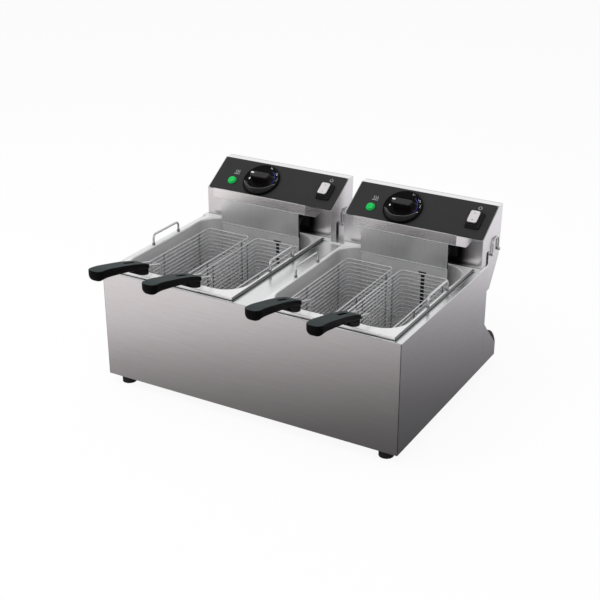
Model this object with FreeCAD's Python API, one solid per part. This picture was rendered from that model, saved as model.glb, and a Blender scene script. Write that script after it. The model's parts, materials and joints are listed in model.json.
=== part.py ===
import FreeCAD, Part
import math
import os

# Double countertop deep fryer, in millimetres. Built with x to the right, y to the back (0 at the middle of
# the casing's depth) and z up from the casing's lower edge, then moved so that the origin is at the centre
# of the whole object's footprint, on the table.

# ---- casing
CASING_DEPTH = 345.0
CASING_HEIGHT = 195.4
DECK_MARGIN = 12.5         # deck that shows outside each tank's flange
SHEET = 1.0
LIP = 14.0                 # inward flange that the base plate is screwed to
GAP = 0.3                  # air between a piece that lifts off and what it sits on
FOOT_RADIUS = 12.5
FOOT_HEIGHT = 16.0
FOOT_INSET_X = 28.0
FOOT_INSET_Y = 19.5

# ---- plate on the deck that the heads stand on, with a turned-up tab for each head's hook
REST_THICKNESS = 2.3
REST_TONGUE_Y = 132.0
TAB_THICKNESS = 2.0
TAB_HEIGHT = 15.0
TAB_INSET = 14.0           # from the head's side to the tab's end
TONGUE_GAP = 1.0           # from the plate to a tank's flange

# ---- stand-off box at the lower back
BOX_DEPTH = 59.5
BOX_LOW = 24.0
BOX_SHOULDER = 17.0
BOX_HIGH = 66.0
BOX_TOP = 84.0
BUMPER_BULGE = 7.0

# ---- tank
TANK_HALF = 116.5
TANK_FRONT = -148.0
TANK_REAR = 133.0
TANK_CORNER = 42.0
TANK_FLOOR = 40.0
TANK_FOLD = 12.0
FLANGE_SIDE = 6.0
FLANGE_LEDGE = 20.0        # broad part of the flange, in front of the well
FLANGE_BACK = 5.0
FLANGE_CORNER = 9.0
FLANGE_RISE = 5.6          # flange top above the deck
DECK_CLEARANCE = 1.5
LOOP_FRONT = -45.5
LOOP_BACK = 30.3
LOOP_HEIGHT = 21.0
LOOP_WIRE = 2.0
LOOP_BEND = 7.0
LOOP_SHIFT = 0.5           # wire's centre outside the middle of the flange

# ---- head: profile in y and z
HEAD_OVERHANG = 9.5        # head's side outside the tank's flange
HEAD_SPACING = 26.0        # between the two heads
HEAD_FRONT = 147.5
HEAD_EDGE_Z = 248.0        # front edge of the sloping panel
PANEL_ANGLE = 32.0
PANEL_SLOPE = 79.0
HEAD_TOP_STRIP = 16.7
HEAD_LEAN = 4.5            # the back leans forward by this much down to the bend
HEAD_BEND_Z = 197.6
HOOK_FOOT_Y = 190.5
HOOK_BOTTOM_Z = 144.5
HOOK_SLOT = 10.3
HOOK_TOP_Z = 221.0

# ---- control panel and what stands on it (u across, v up the slope)
PANEL_INSET = 2.0
PANEL_LOW = 1.5
PANEL_HIGH = 78.0
PANEL_THICKNESS = 1.0
PANEL_CORNER = 4.0
KNOB_U = -32.0
KNOB_V = 36.5
KNOB_RADIUS = 35.5
KNOB_DISC = 8.5
KNOB_HEIGHT = 18.0
KNOB_BAR_WIDTH = 21.0
KNOB_BAR_END = 14.0
KNOB_EDGE = 1.5            # grip bar's end inside the skirt's edge
KNOB_LIFT = 0.6
KNOB_NECK_AIR = 2.0
SHAFT_RADIUS = 3.0
SHAFT_FIT = 0.06
SHAFT_HEIGHT = 13.0
NECK_RADIUS = 5.0
LAMP_U = -92.0
LAMP_V = 25.0
LAMP_RADIUS = 8.5
LAMP_COLLAR = 2.0
LAMP_HEIGHT = 5.0
LAMP_BODY_RADIUS = 6.0
LAMP_BODY_DEPTH = 26.0
SWITCH_U = 102.0
SWITCH_V = 38.5
SWITCH_HALF_U = 13.5
SWITCH_HALF_V = 18.0
SWITCH_HEIGHT = 8.0
SWITCH_STEP = 2.0
SWITCH_DEPTH = 25.0
ROCKER_HALF_U = 8.5
ROCKER_HALF_V = 12.5
ROCKER_TOP = 12.5
ROCKER_STEM = 1.2          # wall of the stem around the pin
ROCKER_DISH = 1.2
ROCKER_TILT = 7.0
PIVOT_HEIGHT = 6.0
PIVOT_RADIUS = 1.5
PIVOT_FIT = 0.08
FIT = 0.2                  # air between a fixed body and the hole that it passes through

# ---- hanging rail and shield
RAIL_REACH = 33.5          # from the head's face to the rail's front
RAIL_HALF = 97.0
RAIL_LOW = 245.0
RAIL_HIGH = 263.0
RAIL_SHEET = 1.5
WING_SPREAD = 0.46
WING_CUT = 0.62            # share of the way back at which the wing's lower edge is cut upwards
WING_FOOT = 5.0            # height of the wing's end on the head's face
WING_DROP = 14.0
SHIELD_HALF = 82.0
SHIELD_BEND_Z = 199.5
SHIELD_SETBACK = 3.0
SHIELD_BOTTOM = 88.0
SHIELD_SLOT_U = 37.0
SHIELD_SLOT_WIDTH = 7.0
SHIELD_SLOT_LOW = 115.0
SHIELD_SLOT_HIGH = 183.0
SHIELD_SLOT_HEAD = 15.0
SHIELD_SLOT_BESIDE = 3.0   # slot's head to the right of the slot

# ---- heating element and sensors
TUBE_RADIUS = 4.0
TUBE_BEND = 12.0
TUBE_SPACING = 50.0        # between neighbouring legs of the two hairpins
TUBE_REAR_Y = 126.5
TUBE_TURN_Y = -95.0
TUBE_ENTRY_Z = 224.0
TUBE_TAIL = 14.0
TURN_STEPS = 5             # straight pieces in a hairpin's turn
ELEMENT_PLATE_BESIDE = 13.0
ELEMENT_PLATE_HEIGHT = 24.0
ELEMENT_PLATE = 2.5
WINDOW_INSET = 5.0         # cut-out in the head's face, inside the element's plate
BULB_RADIUS = 3.0
BULB_LOW = 92.0
BULB_HIGH = 188.0
BULB_SPACING = 16.0
CAPILLARY_RADIUS = 1.0

# ---- carrying handles on the head's sides
BAIL_WIRE = 1.5
BAIL_SIDES = 6
BAIL_OFF = 2.0             # wire's centre from the head's side
BAIL_FRONT = 191.0
BAIL_BACK = 215.0
BAIL_PIVOT_Z = 211.0
BAIL_TOP = 238.0
BAIL_BEND = 8.0
BAIL_FIT = 0.08
CLIP_WIDTH = 4.0
CLIP_WALL = 1.0

# ---- baskets
BASKET_SIDE_GAP = 18.45    # from a basket to the well's side
BASKET_MID_GAP = 11.1      # between the two baskets of a tank
BASKET_FRONT_GAP = 13.0
BASKET_REAR_GAP = 38.0
RIM_BELOW = 10.5           # rim's centre below the flange's top
RIM_WIRE = 2.0
ROW_PITCH = 7.06
ROWS = 16
MESH_WIRE = 2.0
FLOOR_PITCH = 14.3
BRACKET_HALF = 12.0
BRACKET_WIRE = 1.8
BRACKET_KNEE = 19.5        # above the rim
GRIP_HALF = 13.5
GRIP_TIP_RADIUS = 12.0
GRIP_WIRE_DEPTH = 18.0     # how far the bracket's wires run into the grip
GRIP_WIRE_OUT = 37.0       # from the basket's front to the grip
GRIP_WIRE_RISE = 30.5      # above the rim

# ---- grip outline: distance out from its inner end, and height above the bracket's wires
GRIP_LENGTH = 127.0
GRIP_FLAT = 26.0
GRIP_FLAT_TOP = 34.0
GRIP_TIP_TOP = 35.0
GRIP_TIP_UNDER = 22.0
GRIP_BEND = 79.0
GRIP_BEND_TOP = 31.0
GRIP_BEND_UNDER = 20.0
GRIP_BLOCK = 57.0
GRIP_BLOCK_TOP = 24.0
GRIP_BLOCK_UNDER = 15.0
GRIP_SHOULDER = 30.0
GRIP_SHOULDER_TOP = 17.0
GRIP_END_TOP = 6.5
GRIP_KNEE = 42.0
GRIP_KNEE_UNDER = 7.0
GRIP_HEEL = 16.0
GRIP_HEEL_UNDER = 8.0
GRIP_TOE = 6.0
GRIP_TOE_UNDER = 11.0
GRIP_FACE_UNDER = 5.0

# ---- cable gland on the head's lower back
GLAND_RADIUS = 10.0
GLAND_NUT = 6.0
GLAND_NOSE_RADIUS = 7.5
GLAND_NOSE = 8.0
GLAND_BORE = 4.5
GLAND_INSIDE = 8.0
GLAND_U = -60.0

# ---- pieces inside the head
THERMOSTAT_HALF_U = 22.0
THERMOSTAT_HALF_V = 16.0
THERMOSTAT_DEPTH = 32.0
INSIDE_AIR = 2.0
TERMINAL_U = 60.0
TERMINAL_HALF = 40.0
TERMINAL_HEIGHT = 15.0
CUTOUT_U = -52.0
CUTOUT_HALF = 16.0
CUTOUT_HEIGHT = 30.0
INTERLOCK_INSET = 10.0
INTERLOCK_WIDTH = 26.0
INTERLOCK_HEIGHT = 14.0

# ---- worked out from the above
FLANGE_HALF = TANK_HALF + FLANGE_SIDE
FLANGE_FRONT = TANK_FRONT - FLANGE_LEDGE
FLANGE_REAR = TANK_REAR + FLANGE_BACK
HEAD_HALF = FLANGE_HALF + HEAD_OVERHANG
TANK_PITCH = 2 * HEAD_HALF + HEAD_SPACING
CASING_WIDTH = TANK_PITCH + 2 * FLANGE_HALF + 2 * DECK_MARGIN
CASING_REAR = CASING_DEPTH / 2
DECK_TOP = CASING_HEIGHT
HEAD_BASE = DECK_TOP + REST_THICKNESS + GAP
FLANGE_TOP = DECK_TOP + FLANGE_RISE
SLOPE = math.radians(PANEL_ANGLE)
SLOT_FRONT = CASING_REAR - HOOK_SLOT / 2
SLOT_BACK = CASING_REAR + HOOK_SLOT / 2
RIDGE_Y = HEAD_FRONT + PANEL_SLOPE * math.cos(SLOPE)
RIDGE_Z = HEAD_EDGE_Z + PANEL_SLOPE * math.sin(SLOPE)
HEAD_REAR = RIDGE_Y + HEAD_TOP_STRIP
RAIL_Y = HEAD_FRONT - RAIL_REACH
SHIELD_Y = RAIL_Y + RAIL_SHEET
BASKET_HALF = (TANK_HALF - BASKET_SIDE_GAP - BASKET_MID_GAP / 2) / 2
BASKET_U = BASKET_MID_GAP / 2 + BASKET_HALF
BASKET_FRONT = TANK_FRONT + BASKET_FRONT_GAP
BASKET_BACK = TANK_REAR - BASKET_REAR_GAP
RIM_Z = FLANGE_TOP - RIM_BELOW
GRIP_WIRE_Y = BASKET_FRONT - GRIP_WIRE_OUT
GRIP_WIRE_Z = RIM_Z + GRIP_WIRE_RISE
TUBE_LEGS = tuple(TUBE_SPACING * step for step in (-1.5, -0.5, 0.5, 1.5))
BULB_PLACES = (-BULB_SPACING / 2, BULB_SPACING / 2)
ELEMENT_PLATE_HALF = TUBE_LEGS[-1] + ELEMENT_PLATE_BESIDE
BASKET_FLOOR = RIM_Z - ROWS * ROW_PITCH - MESH_WIRE / 2
TUBE_FLOOR_Z = BASKET_FLOOR - GAP - TUBE_RADIUS
SIDES = (("left", -TANK_PITCH / 2), ("right", TANK_PITCH / 2))


def vec(x, y, z):
    return FreeCAD.Vector(x, y, z)


def box(x0, x1, y0, y1, z0, z1):
    return Part.makeBox(x1 - x0, y1 - y0, z1 - z0, vec(x0, y0, z0))


def rounded_face(x0, x1, y0, y1, radius, z):
    """Rectangle with round corners, lying level at height z."""
    half = math.pi / 4
    corners = ((x1 - radius, y1 - radius, 0), (x0 + radius, y1 - radius, 1),
               (x0 + radius, y0 + radius, 2), (x1 - radius, y0 + radius, 3))
    arcs = []
    for cx, cy, quarter in corners:
        points = []
        for step in (0, 1, 2):
            angle = quarter * math.pi / 2 + step * half
            points.append(vec(cx + radius * math.cos(angle), cy + radius * math.sin(angle), z))
        arcs.append(Part.Arc(*points).toShape())
    edges = []
    for index, arc in enumerate(arcs):
        follower = arcs[(index + 1) % 4]
        edges.append(arc)
        edges.append(Part.makeLine(arc.valueAt(arc.LastParameter), follower.valueAt(follower.FirstParameter)))
    return Part.Face(Part.Wire(edges))


def side_face(points, x=0.0):
    """Polygon of (y, z) points in the plane x."""
    corners = [vec(x, y, z) for y, z in points]
    return Part.Face(Part.makePolygon(corners + corners[:1]))


def prism(points, x0, x1):
    return side_face(points, x0).extrude(vec(x1 - x0, 0, 0))


def eased(points, bends):
    """The path with a bend at each corner: straight runs between the arc's ends and its middle."""
    path = [vec(*point) for point in points]
    line = [path[0]]
    for index, bend in enumerate(bends, 1):
        corner = path[index]
        before = (path[index - 1] - corner).normalize()
        after = (path[index + 1] - corner).normalize()
        half = before.getAngle(after) / 2
        reach = bend / math.tan(half)
        inward = (before + after).normalize()
        middle = corner + inward * (bend / math.sin(half) - bend)
        line += [corner + before * reach, middle, corner + after * reach]
    return line + [path[-1]]


def rod(path, radius, sides=8):
    """Wire along straight runs with mitred corners; its section is a regular polygon around the real circle."""
    run = (path[1] - path[0]).normalize()
    across = run.cross(vec(1, 0, 0) if abs(run.x) < 0.9 else vec(0, 1, 0)).normalize()
    beside = run.cross(across)
    reach = radius / math.cos(math.pi / sides)
    ring = []
    for index in range(sides + 1):
        angle = 2 * math.pi * (index + 0.5) / sides
        ring.append(path[0] + across * reach * math.cos(angle) + beside * reach * math.sin(angle))
    return Part.makePolygon(path).makePipeShell([Part.makePolygon(ring)], True, False, 1)


def fuse(shapes):
    return shapes[0].multiFuse(shapes[1:]).removeSplitter()


def on_panel(u, v, h):
    """Point above the sloping panel: u across, v up the slope, h out of it."""
    return vec(u, HEAD_FRONT + v * math.cos(SLOPE) - h * math.sin(SLOPE),
               HEAD_EDGE_Z + v * math.sin(SLOPE) + h * math.cos(SLOPE))


def lay_on_panel(shape, u, v):
    """Turn a shape built on the level about the origin and seat it on the panel's steel at u, v."""
    placed = shape.copy()
    placed.rotate(vec(0, 0, 0), vec(1, 0, 0), PANEL_ANGLE)
    placed.translate(on_panel(u, v, 0))
    return placed


# ---- casing

def make_body_shell():
    half = CASING_WIDTH / 2
    outer = box(-half, half, -CASING_REAR, CASING_REAR, 0, DECK_TOP - SHEET)
    inner = box(-half + SHEET, half - SHEET, -CASING_REAR + SHEET, CASING_REAR - SHEET, 0, DECK_TOP)
    lip = box(-half + SHEET, half - SHEET, -CASING_REAR + SHEET, CASING_REAR - SHEET, SHEET, 2 * SHEET)
    inside = SHEET + LIP
    lip = lip.cut(box(-half + inside, half - inside, -CASING_REAR + inside, CASING_REAR - inside, 0, LIP))
    return fuse([outer.cut(inner), lip])


def make_deck_panel():
    half = CASING_WIDTH / 2
    deck = box(-half, half, -CASING_REAR, CASING_REAR, DECK_TOP - SHEET, DECK_TOP)
    reach = SHEET + DECK_CLEARANCE
    for _, centre in SIDES:
        hole = rounded_face(centre - TANK_HALF - reach, centre + TANK_HALF + reach, TANK_FRONT - reach,
                            TANK_REAR + reach, TANK_CORNER + reach, DECK_TOP - 2 * SHEET)
        deck = deck.cut(hole.extrude(vec(0, 0, 3 * SHEET)))
    return deck


def make_head_rest_plate():
    """Polished plate behind the tanks, with a tongue between them and a turned-up tab under each head."""
    half = CASING_WIDTH / 2
    start = FLANGE_REAR + GAP + TONGUE_GAP
    plate = box(-half, half, start, CASING_REAR, DECK_TOP, DECK_TOP + REST_THICKNESS)
    side_gap = TANK_PITCH / 2 - FLANGE_HALF - TONGUE_GAP
    outer = TANK_PITCH / 2 + FLANGE_HALF + TONGUE_GAP
    tongues = [(-half, -outer), (-side_gap, side_gap), (outer, half)]
    parts = [plate]
    for x0, x1 in tongues:
        parts.append(box(x0, x1, REST_TONGUE_Y, start, DECK_TOP, DECK_TOP + REST_THICKNESS))
    for _, centre in SIDES:
        reach = HEAD_HALF - TAB_INSET
        parts.append(box(centre - reach, centre + reach, CASING_REAR - TAB_THICKNESS, CASING_REAR,
                         DECK_TOP, DECK_TOP + REST_THICKNESS + TAB_HEIGHT))
    return fuse(parts)


def make_base_plate():
    half = CASING_WIDTH / 2 - SHEET
    depth = CASING_REAR - SHEET
    return box(-half, half, -depth, depth, 0, SHEET)


def make_feet():
    feet = []
    for sx in (-1, 1):
        for sy in (-1, 1):
            place = vec(sx * (CASING_WIDTH / 2 - FOOT_INSET_X), sy * (CASING_REAR - FOOT_INSET_Y), -FOOT_HEIGHT)
            feet.append(Part.makeCylinder(FOOT_RADIUS, FOOT_HEIGHT, place))
    return Part.makeCompound(feet)


def box_profile(inset):
    """Side outline of the stand-off box, drawn in by the given wall."""
    rear = CASING_REAR
    outline = side_face([(rear, 0), (rear + BOX_DEPTH, 0), (rear + BOX_DEPTH, BOX_LOW),
                         (rear + BOX_SHOULDER, BOX_HIGH), (rear, BOX_TOP)])
    if inset == 0:
        return outline
    return outline.makeOffset2D(-inset, 2)


def make_rear_box():
    half = CASING_WIDTH / 2
    outer = box_profile(0).extrude(vec(CASING_WIDTH, 0, 0))
    outer.translate(vec(-half, 0, 0))
    inner = box_profile(SHEET).extrude(vec(CASING_WIDTH - 2 * SHEET, 0, 0))
    inner.translate(vec(-half + SHEET, 0, 0))
    return outer.cut(inner)


def make_rear_bumper():
    """Black strip with a round back on the box's sloping face."""
    half = CASING_WIDTH / 2
    low = vec(-half, CASING_REAR + BOX_DEPTH, BOX_LOW)
    high = vec(-half, CASING_REAR + BOX_SHOULDER, BOX_HIGH)
    run = high - low
    out = vec(0, run.z, -run.y).normalize()
    middle = (low + high) * 0.5 + out * BUMPER_BULGE
    face = Part.Face(Part.Wire([Part.makeLine(high, low), Part.Arc(low, middle, high).toShape()]))
    return face.extrude(vec(CASING_WIDTH, 0, 0))


# ---- tank

def make_tank():
    """Deep-drawn pan with a broad front flange, a folded floor edge and a turned-down skirt."""
    top = FLANGE_TOP
    wall = SHEET
    well = rounded_face(-TANK_HALF - wall, TANK_HALF + wall, TANK_FRONT - wall, TANK_REAR + wall,
                        TANK_CORNER + wall, TANK_FLOOR - wall).extrude(vec(0, 0, top - TANK_FLOOR + wall))
    floor_edges = [edge for edge in well.Edges if edge.BoundBox.ZMax < TANK_FLOOR]
    well = well.makeChamfer(TANK_FOLD, floor_edges)
    hollow = rounded_face(-TANK_HALF, TANK_HALF, TANK_FRONT, TANK_REAR, TANK_CORNER,
                          TANK_FLOOR).extrude(vec(0, 0, top - TANK_FLOOR + wall))
    low_edges = [edge for edge in hollow.Edges if edge.BoundBox.ZMax < TANK_FLOOR + wall]
    hollow = hollow.makeChamfer(TANK_FOLD, low_edges)
    skirt = rounded_face(-FLANGE_HALF, FLANGE_HALF, FLANGE_FRONT, FLANGE_REAR, FLANGE_CORNER,
                         DECK_TOP + GAP).extrude(vec(0, 0, FLANGE_RISE - GAP))
    under = rounded_face(-FLANGE_HALF + wall, FLANGE_HALF - wall, FLANGE_FRONT + wall, FLANGE_REAR - wall,
                         FLANGE_CORNER - wall, DECK_TOP).extrude(vec(0, 0, FLANGE_RISE - wall))
    return skirt.cut(under).fuse(well).cut(hollow).removeSplitter()


def make_tank_handles():
    loops = []
    inset = (FLANGE_HALF + TANK_HALF) / 2 + LOOP_SHIFT
    for side in (-1, 1):
        x = side * inset
        top = FLANGE_TOP + LOOP_HEIGHT - LOOP_WIRE
        path = eased([(x, LOOP_FRONT, FLANGE_TOP), (x, LOOP_FRONT, top), (x, LOOP_BACK, top),
                      (x, LOOP_BACK, FLANGE_TOP)], (LOOP_BEND, LOOP_BEND))
        loops.append(rod(path, LOOP_WIRE))
    return Part.makeCompound(loops)


# ---- head

def head_profile():
    """Side outline of the head: sloping panel, level strip, leaning back and hook over the casing's edge."""
    radius = HOOK_SLOT / 2
    arc_z = HOOK_TOP_Z - radius
    bend_y = HEAD_REAR - HEAD_LEAN
    before = [(SLOT_FRONT, arc_z), (SLOT_FRONT, HEAD_BASE), (HEAD_FRONT, HEAD_BASE), (HEAD_FRONT, HEAD_EDGE_Z),
              (RIDGE_Y, RIDGE_Z), (HEAD_REAR, RIDGE_Z), (bend_y, HEAD_BEND_Z), (HOOK_FOOT_Y, HOOK_BOTTOM_Z),
              (SLOT_BACK, HOOK_BOTTOM_Z), (SLOT_BACK, arc_z)]
    corners = [vec(0, y, z) for y, z in before]
    top = Part.Arc(corners[-1], vec(0, CASING_REAR, HOOK_TOP_Z), corners[0]).toShape()
    return Part.Face(Part.Wire(Part.makePolygon(corners).Edges + [top]))


def head_band():
    """Everything of the head's sheet between its two side plates."""
    outline = head_profile()
    band = outline.cut(outline.makeOffset2D(-SHEET, 2))
    reach = HEAD_HALF - SHEET
    band = band.extrude(vec(2 * reach, 0, 0))
    band.translate(vec(-reach, 0, 0))
    return band


def front_region():
    """The part of the band that is one sheet with the side plates: face, slope and level strip."""
    low = HEAD_FRONT - SHEET
    under = 4 * SHEET
    rear = HEAD_REAR - 2 * SHEET
    return prism([(low, HEAD_BASE - SHEET), (HEAD_FRONT + SHEET, HEAD_BASE - SHEET),
                  (HEAD_FRONT + SHEET, HEAD_EDGE_Z - under), (RIDGE_Y, RIDGE_Z - under), (rear, RIDGE_Z - under),
                  (rear, RIDGE_Z + SHEET), (low, RIDGE_Z + SHEET)], -HEAD_HALF, HEAD_HALF)


def panel_holes(depth):
    """Cutters through the panel for the thermostat's neck, the lamp's body and the switch's body."""
    neck = Part.makeCylinder(NECK_RADIUS + FIT, 2 * depth, vec(0, 0, -depth))
    lamp = Part.makeCylinder(LAMP_BODY_RADIUS + FIT, 2 * depth, vec(0, 0, -depth))
    half_u = SWITCH_HALF_U - SWITCH_STEP + FIT
    half_v = SWITCH_HALF_V - SWITCH_STEP + FIT
    switch = box(-half_u, half_u, -half_v, half_v, -depth, depth)
    return [lay_on_panel(neck, KNOB_U, KNOB_V), lay_on_panel(lamp, LAMP_U, LAMP_V),
            lay_on_panel(switch, SWITCH_U, SWITCH_V)]


def face_window():
    """Cut-out in the head's face that the element's plate covers."""
    half_u = ELEMENT_PLATE_HALF - WINDOW_INSET
    half_z = ELEMENT_PLATE_HEIGHT / 2 - WINDOW_INSET
    return box(-half_u, half_u, HEAD_FRONT - SHEET, HEAD_FRONT + 2 * SHEET, TUBE_ENTRY_Z - half_z, TUBE_ENTRY_Z + half_z)


def bail_clips(side):
    """Two small blocks on the head's side that the carrying handle's pins turn in."""
    blocks = []
    face = side * HEAD_HALF
    x = face + side * BAIL_OFF
    reach = BAIL_WIRE + BAIL_FIT + CLIP_WALL
    outer = x + side * reach
    for y, step in ((BAIL_FRONT, -1), (BAIL_BACK, 1)):
        near = y + step * (BAIL_WIRE + 2 * GAP)
        y0 = min(near, near + step * CLIP_WIDTH)
        block = box(min(face, outer), max(face, outer), y0, y0 + CLIP_WIDTH, BAIL_PIVOT_Z - reach, BAIL_PIVOT_Z + reach)
        bore = Part.makeCylinder(BAIL_WIRE + BAIL_FIT, CLIP_WIDTH, vec(x, y0, BAIL_PIVOT_Z), vec(0, 1, 0))
        blocks.append(block.cut(bore))
    return blocks


def make_head_shell():
    outline = head_profile()
    parts = [head_band().common(front_region())]
    for x0 in (-HEAD_HALF, HEAD_HALF - SHEET):
        plate = outline.extrude(vec(SHEET, 0, 0))
        plate.translate(vec(x0, 0, 0))
        parts.append(plate)
    for side in (-1, 1):
        parts += bail_clips(side)
    shell = fuse(parts)
    for cutter in panel_holes(2 * SHEET) + [face_window()]:
        shell = shell.cut(cutter)
    return shell


def gland_frame():
    """Middle of the slanting lower back on the outside, and its outward direction."""
    low = vec(GLAND_U, HOOK_FOOT_Y, HOOK_BOTTOM_Z)
    high = vec(GLAND_U, HEAD_REAR - HEAD_LEAN, HEAD_BEND_Z)
    run = high - low
    return (low + high) * 0.5, vec(0, run.z, -run.y).normalize()


def make_head_back():
    back = head_band().cut(front_region())
    place, out = gland_frame()
    return back.cut(Part.makeCylinder(GLAND_NOSE_RADIUS + FIT, 4 * SHEET, place - out * 2 * SHEET, out))


def make_cable_gland():
    """Hexagonal nut against the back, with a round nose through it."""
    place, out = gland_frame()
    inner = place - out * GLAND_INSIDE
    nut = rod([place, place + out * GLAND_NUT], GLAND_RADIUS, 6)
    nose = Part.makeCylinder(GLAND_NOSE_RADIUS, GLAND_NUT + GLAND_NOSE + GLAND_INSIDE, inner, out)
    bore = Part.makeCylinder(GLAND_BORE, GLAND_NUT + GLAND_NOSE + GLAND_INSIDE, inner, out)
    return nut.fuse(nose).cut(bore)


def make_control_panel():
    half = HEAD_HALF - PANEL_INSET
    face = rounded_face(-half, half, PANEL_LOW, PANEL_HIGH, PANEL_CORNER, 0)
    panel = lay_on_panel(face.extrude(vec(0, 0, PANEL_THICKNESS)), 0, 0)
    for cutter in panel_holes(2 * SHEET):
        panel = panel.cut(cutter)
    return panel


def make_hanging_rail():
    """Flat strip in front of the head, held by a falling wing at each end."""
    strip = box(-RAIL_HALF, RAIL_HALF, RAIL_Y, RAIL_Y + RAIL_SHEET, RAIL_LOW, RAIL_HIGH)
    spread = RAIL_REACH * WING_SPREAD
    parts = [strip]
    for side in (-1, 1):
        near = side * (RAIL_HALF - RAIL_SHEET)
        far = side * (RAIL_HALF - RAIL_SHEET + spread)
        high = RAIL_HIGH - WING_DROP
        corners = [vec(near, RAIL_Y, RAIL_LOW), vec(near, RAIL_Y, RAIL_HIGH), vec(far, HEAD_FRONT, high),
                   vec(far, HEAD_FRONT, high - WING_FOOT),
                   vec(near + (far - near) * WING_CUT, RAIL_Y + RAIL_REACH * WING_CUT, RAIL_LOW - WING_DROP * WING_CUT)]
        face = Part.Face(Part.makePolygon(corners + corners[:1]))
        parts.append(face.extrude(vec(side * RAIL_SHEET, 0, 0)))
    return fuse(parts)


def make_shield_plate():
    """Plate behind the rail that hangs into the tank, set back below the rim, with a keyed slot."""
    back = SHIELD_Y + SHEET
    low = SHIELD_BEND_Z - SHIELD_SETBACK
    profile = [(SHIELD_Y, RAIL_HIGH), (SHIELD_Y, SHIELD_BEND_Z), (SHIELD_Y + SHIELD_SETBACK, low),
               (SHIELD_Y + SHIELD_SETBACK, SHIELD_BOTTOM), (back + SHIELD_SETBACK, SHIELD_BOTTOM),
               (back + SHIELD_SETBACK, low), (back, SHIELD_BEND_Z), (back, RAIL_HIGH)]
    plate = prism(profile, -SHIELD_HALF, SHIELD_HALF)
    right = SHIELD_SLOT_U + SHIELD_SLOT_WIDTH / 2
    left = SHIELD_SLOT_U - SHIELD_SLOT_WIDTH / 2
    depth = back + 2 * SHIELD_SETBACK
    slot = box(left, right, SHIELD_Y, depth, SHIELD_SLOT_LOW, SHIELD_SLOT_HIGH)
    end = right + SHIELD_SLOT_BESIDE
    key = box(end - SHIELD_SLOT_HEAD, end, SHIELD_Y, depth, SHIELD_SLOT_HIGH - SHIELD_SLOT_WIDTH / 2, SHIELD_SLOT_HIGH)
    return plate.cut(slot).cut(key)


def make_heating_element():
    """Two hairpin tubes that come out of the head, drop behind the shield and lie above the tank's floor."""
    parts = []
    for first, last in (TUBE_LEGS[:2], TUBE_LEGS[2:]):
        tail = HEAD_FRONT + TUBE_TAIL
        centre = (first + last) / 2
        turn = (last - first) / 2
        corners = []
        for u, order in ((first, 1), (last, -1)):
            leg = eased([(u, tail, TUBE_ENTRY_Z), (u, TUBE_REAR_Y, TUBE_ENTRY_Z), (u, TUBE_REAR_Y, TUBE_FLOOR_Z),
                         (u, TUBE_TURN_Y, TUBE_FLOOR_Z)], (TUBE_BEND, TUBE_BEND))
            corners.append(leg[::order])
        middle = []
        for step in range(1, TURN_STEPS):
            angle = math.pi * step / TURN_STEPS
            middle.append(vec(centre - turn * math.cos(angle), TUBE_TURN_Y - turn * math.sin(angle), TUBE_FLOOR_Z))
        parts.append(rod(corners[0] + middle + corners[1], TUBE_RADIUS))
    half = ELEMENT_PLATE_HEIGHT / 2
    plate = box(-ELEMENT_PLATE_HALF, ELEMENT_PLATE_HALF, HEAD_FRONT - ELEMENT_PLATE, HEAD_FRONT,
                TUBE_ENTRY_Z - half, TUBE_ENTRY_Z + half)
    for u in BULB_PLACES:
        plate = plate.cut(capillary_path(u, CAPILLARY_RADIUS + FIT))
    return fuse(parts + [plate])


def capillary_path(u, radius):
    return rod([vec(u, TUBE_REAR_Y, BULB_HIGH - BULB_RADIUS), vec(u, TUBE_REAR_Y, TUBE_ENTRY_Z),
                vec(u, HEAD_FRONT + TUBE_TAIL, TUBE_ENTRY_Z)], radius)


def make_sensor_bulbs():
    bulbs = []
    for u in BULB_PLACES:
        bulb = rod([vec(u, TUBE_REAR_Y, BULB_LOW), vec(u, TUBE_REAR_Y, BULB_HIGH)], BULB_RADIUS)
        bulbs.append(bulb.fuse(capillary_path(u, CAPILLARY_RADIUS)))
    return Part.makeCompound(bulbs)


def make_thermostat():
    """Capillary thermostat under the panel, with its neck and the shaft that carries the knob."""
    body = box(-THERMOSTAT_HALF_U, THERMOSTAT_HALF_U, -THERMOSTAT_HALF_V, THERMOSTAT_HALF_V,
               -SHEET - THERMOSTAT_DEPTH, -SHEET)
    neck = Part.makeCylinder(NECK_RADIUS, SHEET + PANEL_THICKNESS, vec(0, 0, -SHEET))
    shaft = Part.makeCylinder(SHAFT_RADIUS, SHAFT_HEIGHT, vec(0, 0, 0))
    return lay_on_panel(fuse([body, neck, shaft]), KNOB_U, KNOB_V)


def make_pilot_lamp():
    """Lens on a wider collar, with the lamp's body behind the panel."""
    base = PANEL_THICKNESS
    collar = Part.makeCylinder(LAMP_RADIUS, LAMP_COLLAR, vec(0, 0, base))
    lens = Part.makeCylinder(LAMP_BODY_RADIUS, LAMP_HEIGHT + base + LAMP_BODY_DEPTH, vec(0, 0, -LAMP_BODY_DEPTH))
    return lay_on_panel(collar.fuse(lens), LAMP_U, LAMP_V)


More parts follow.
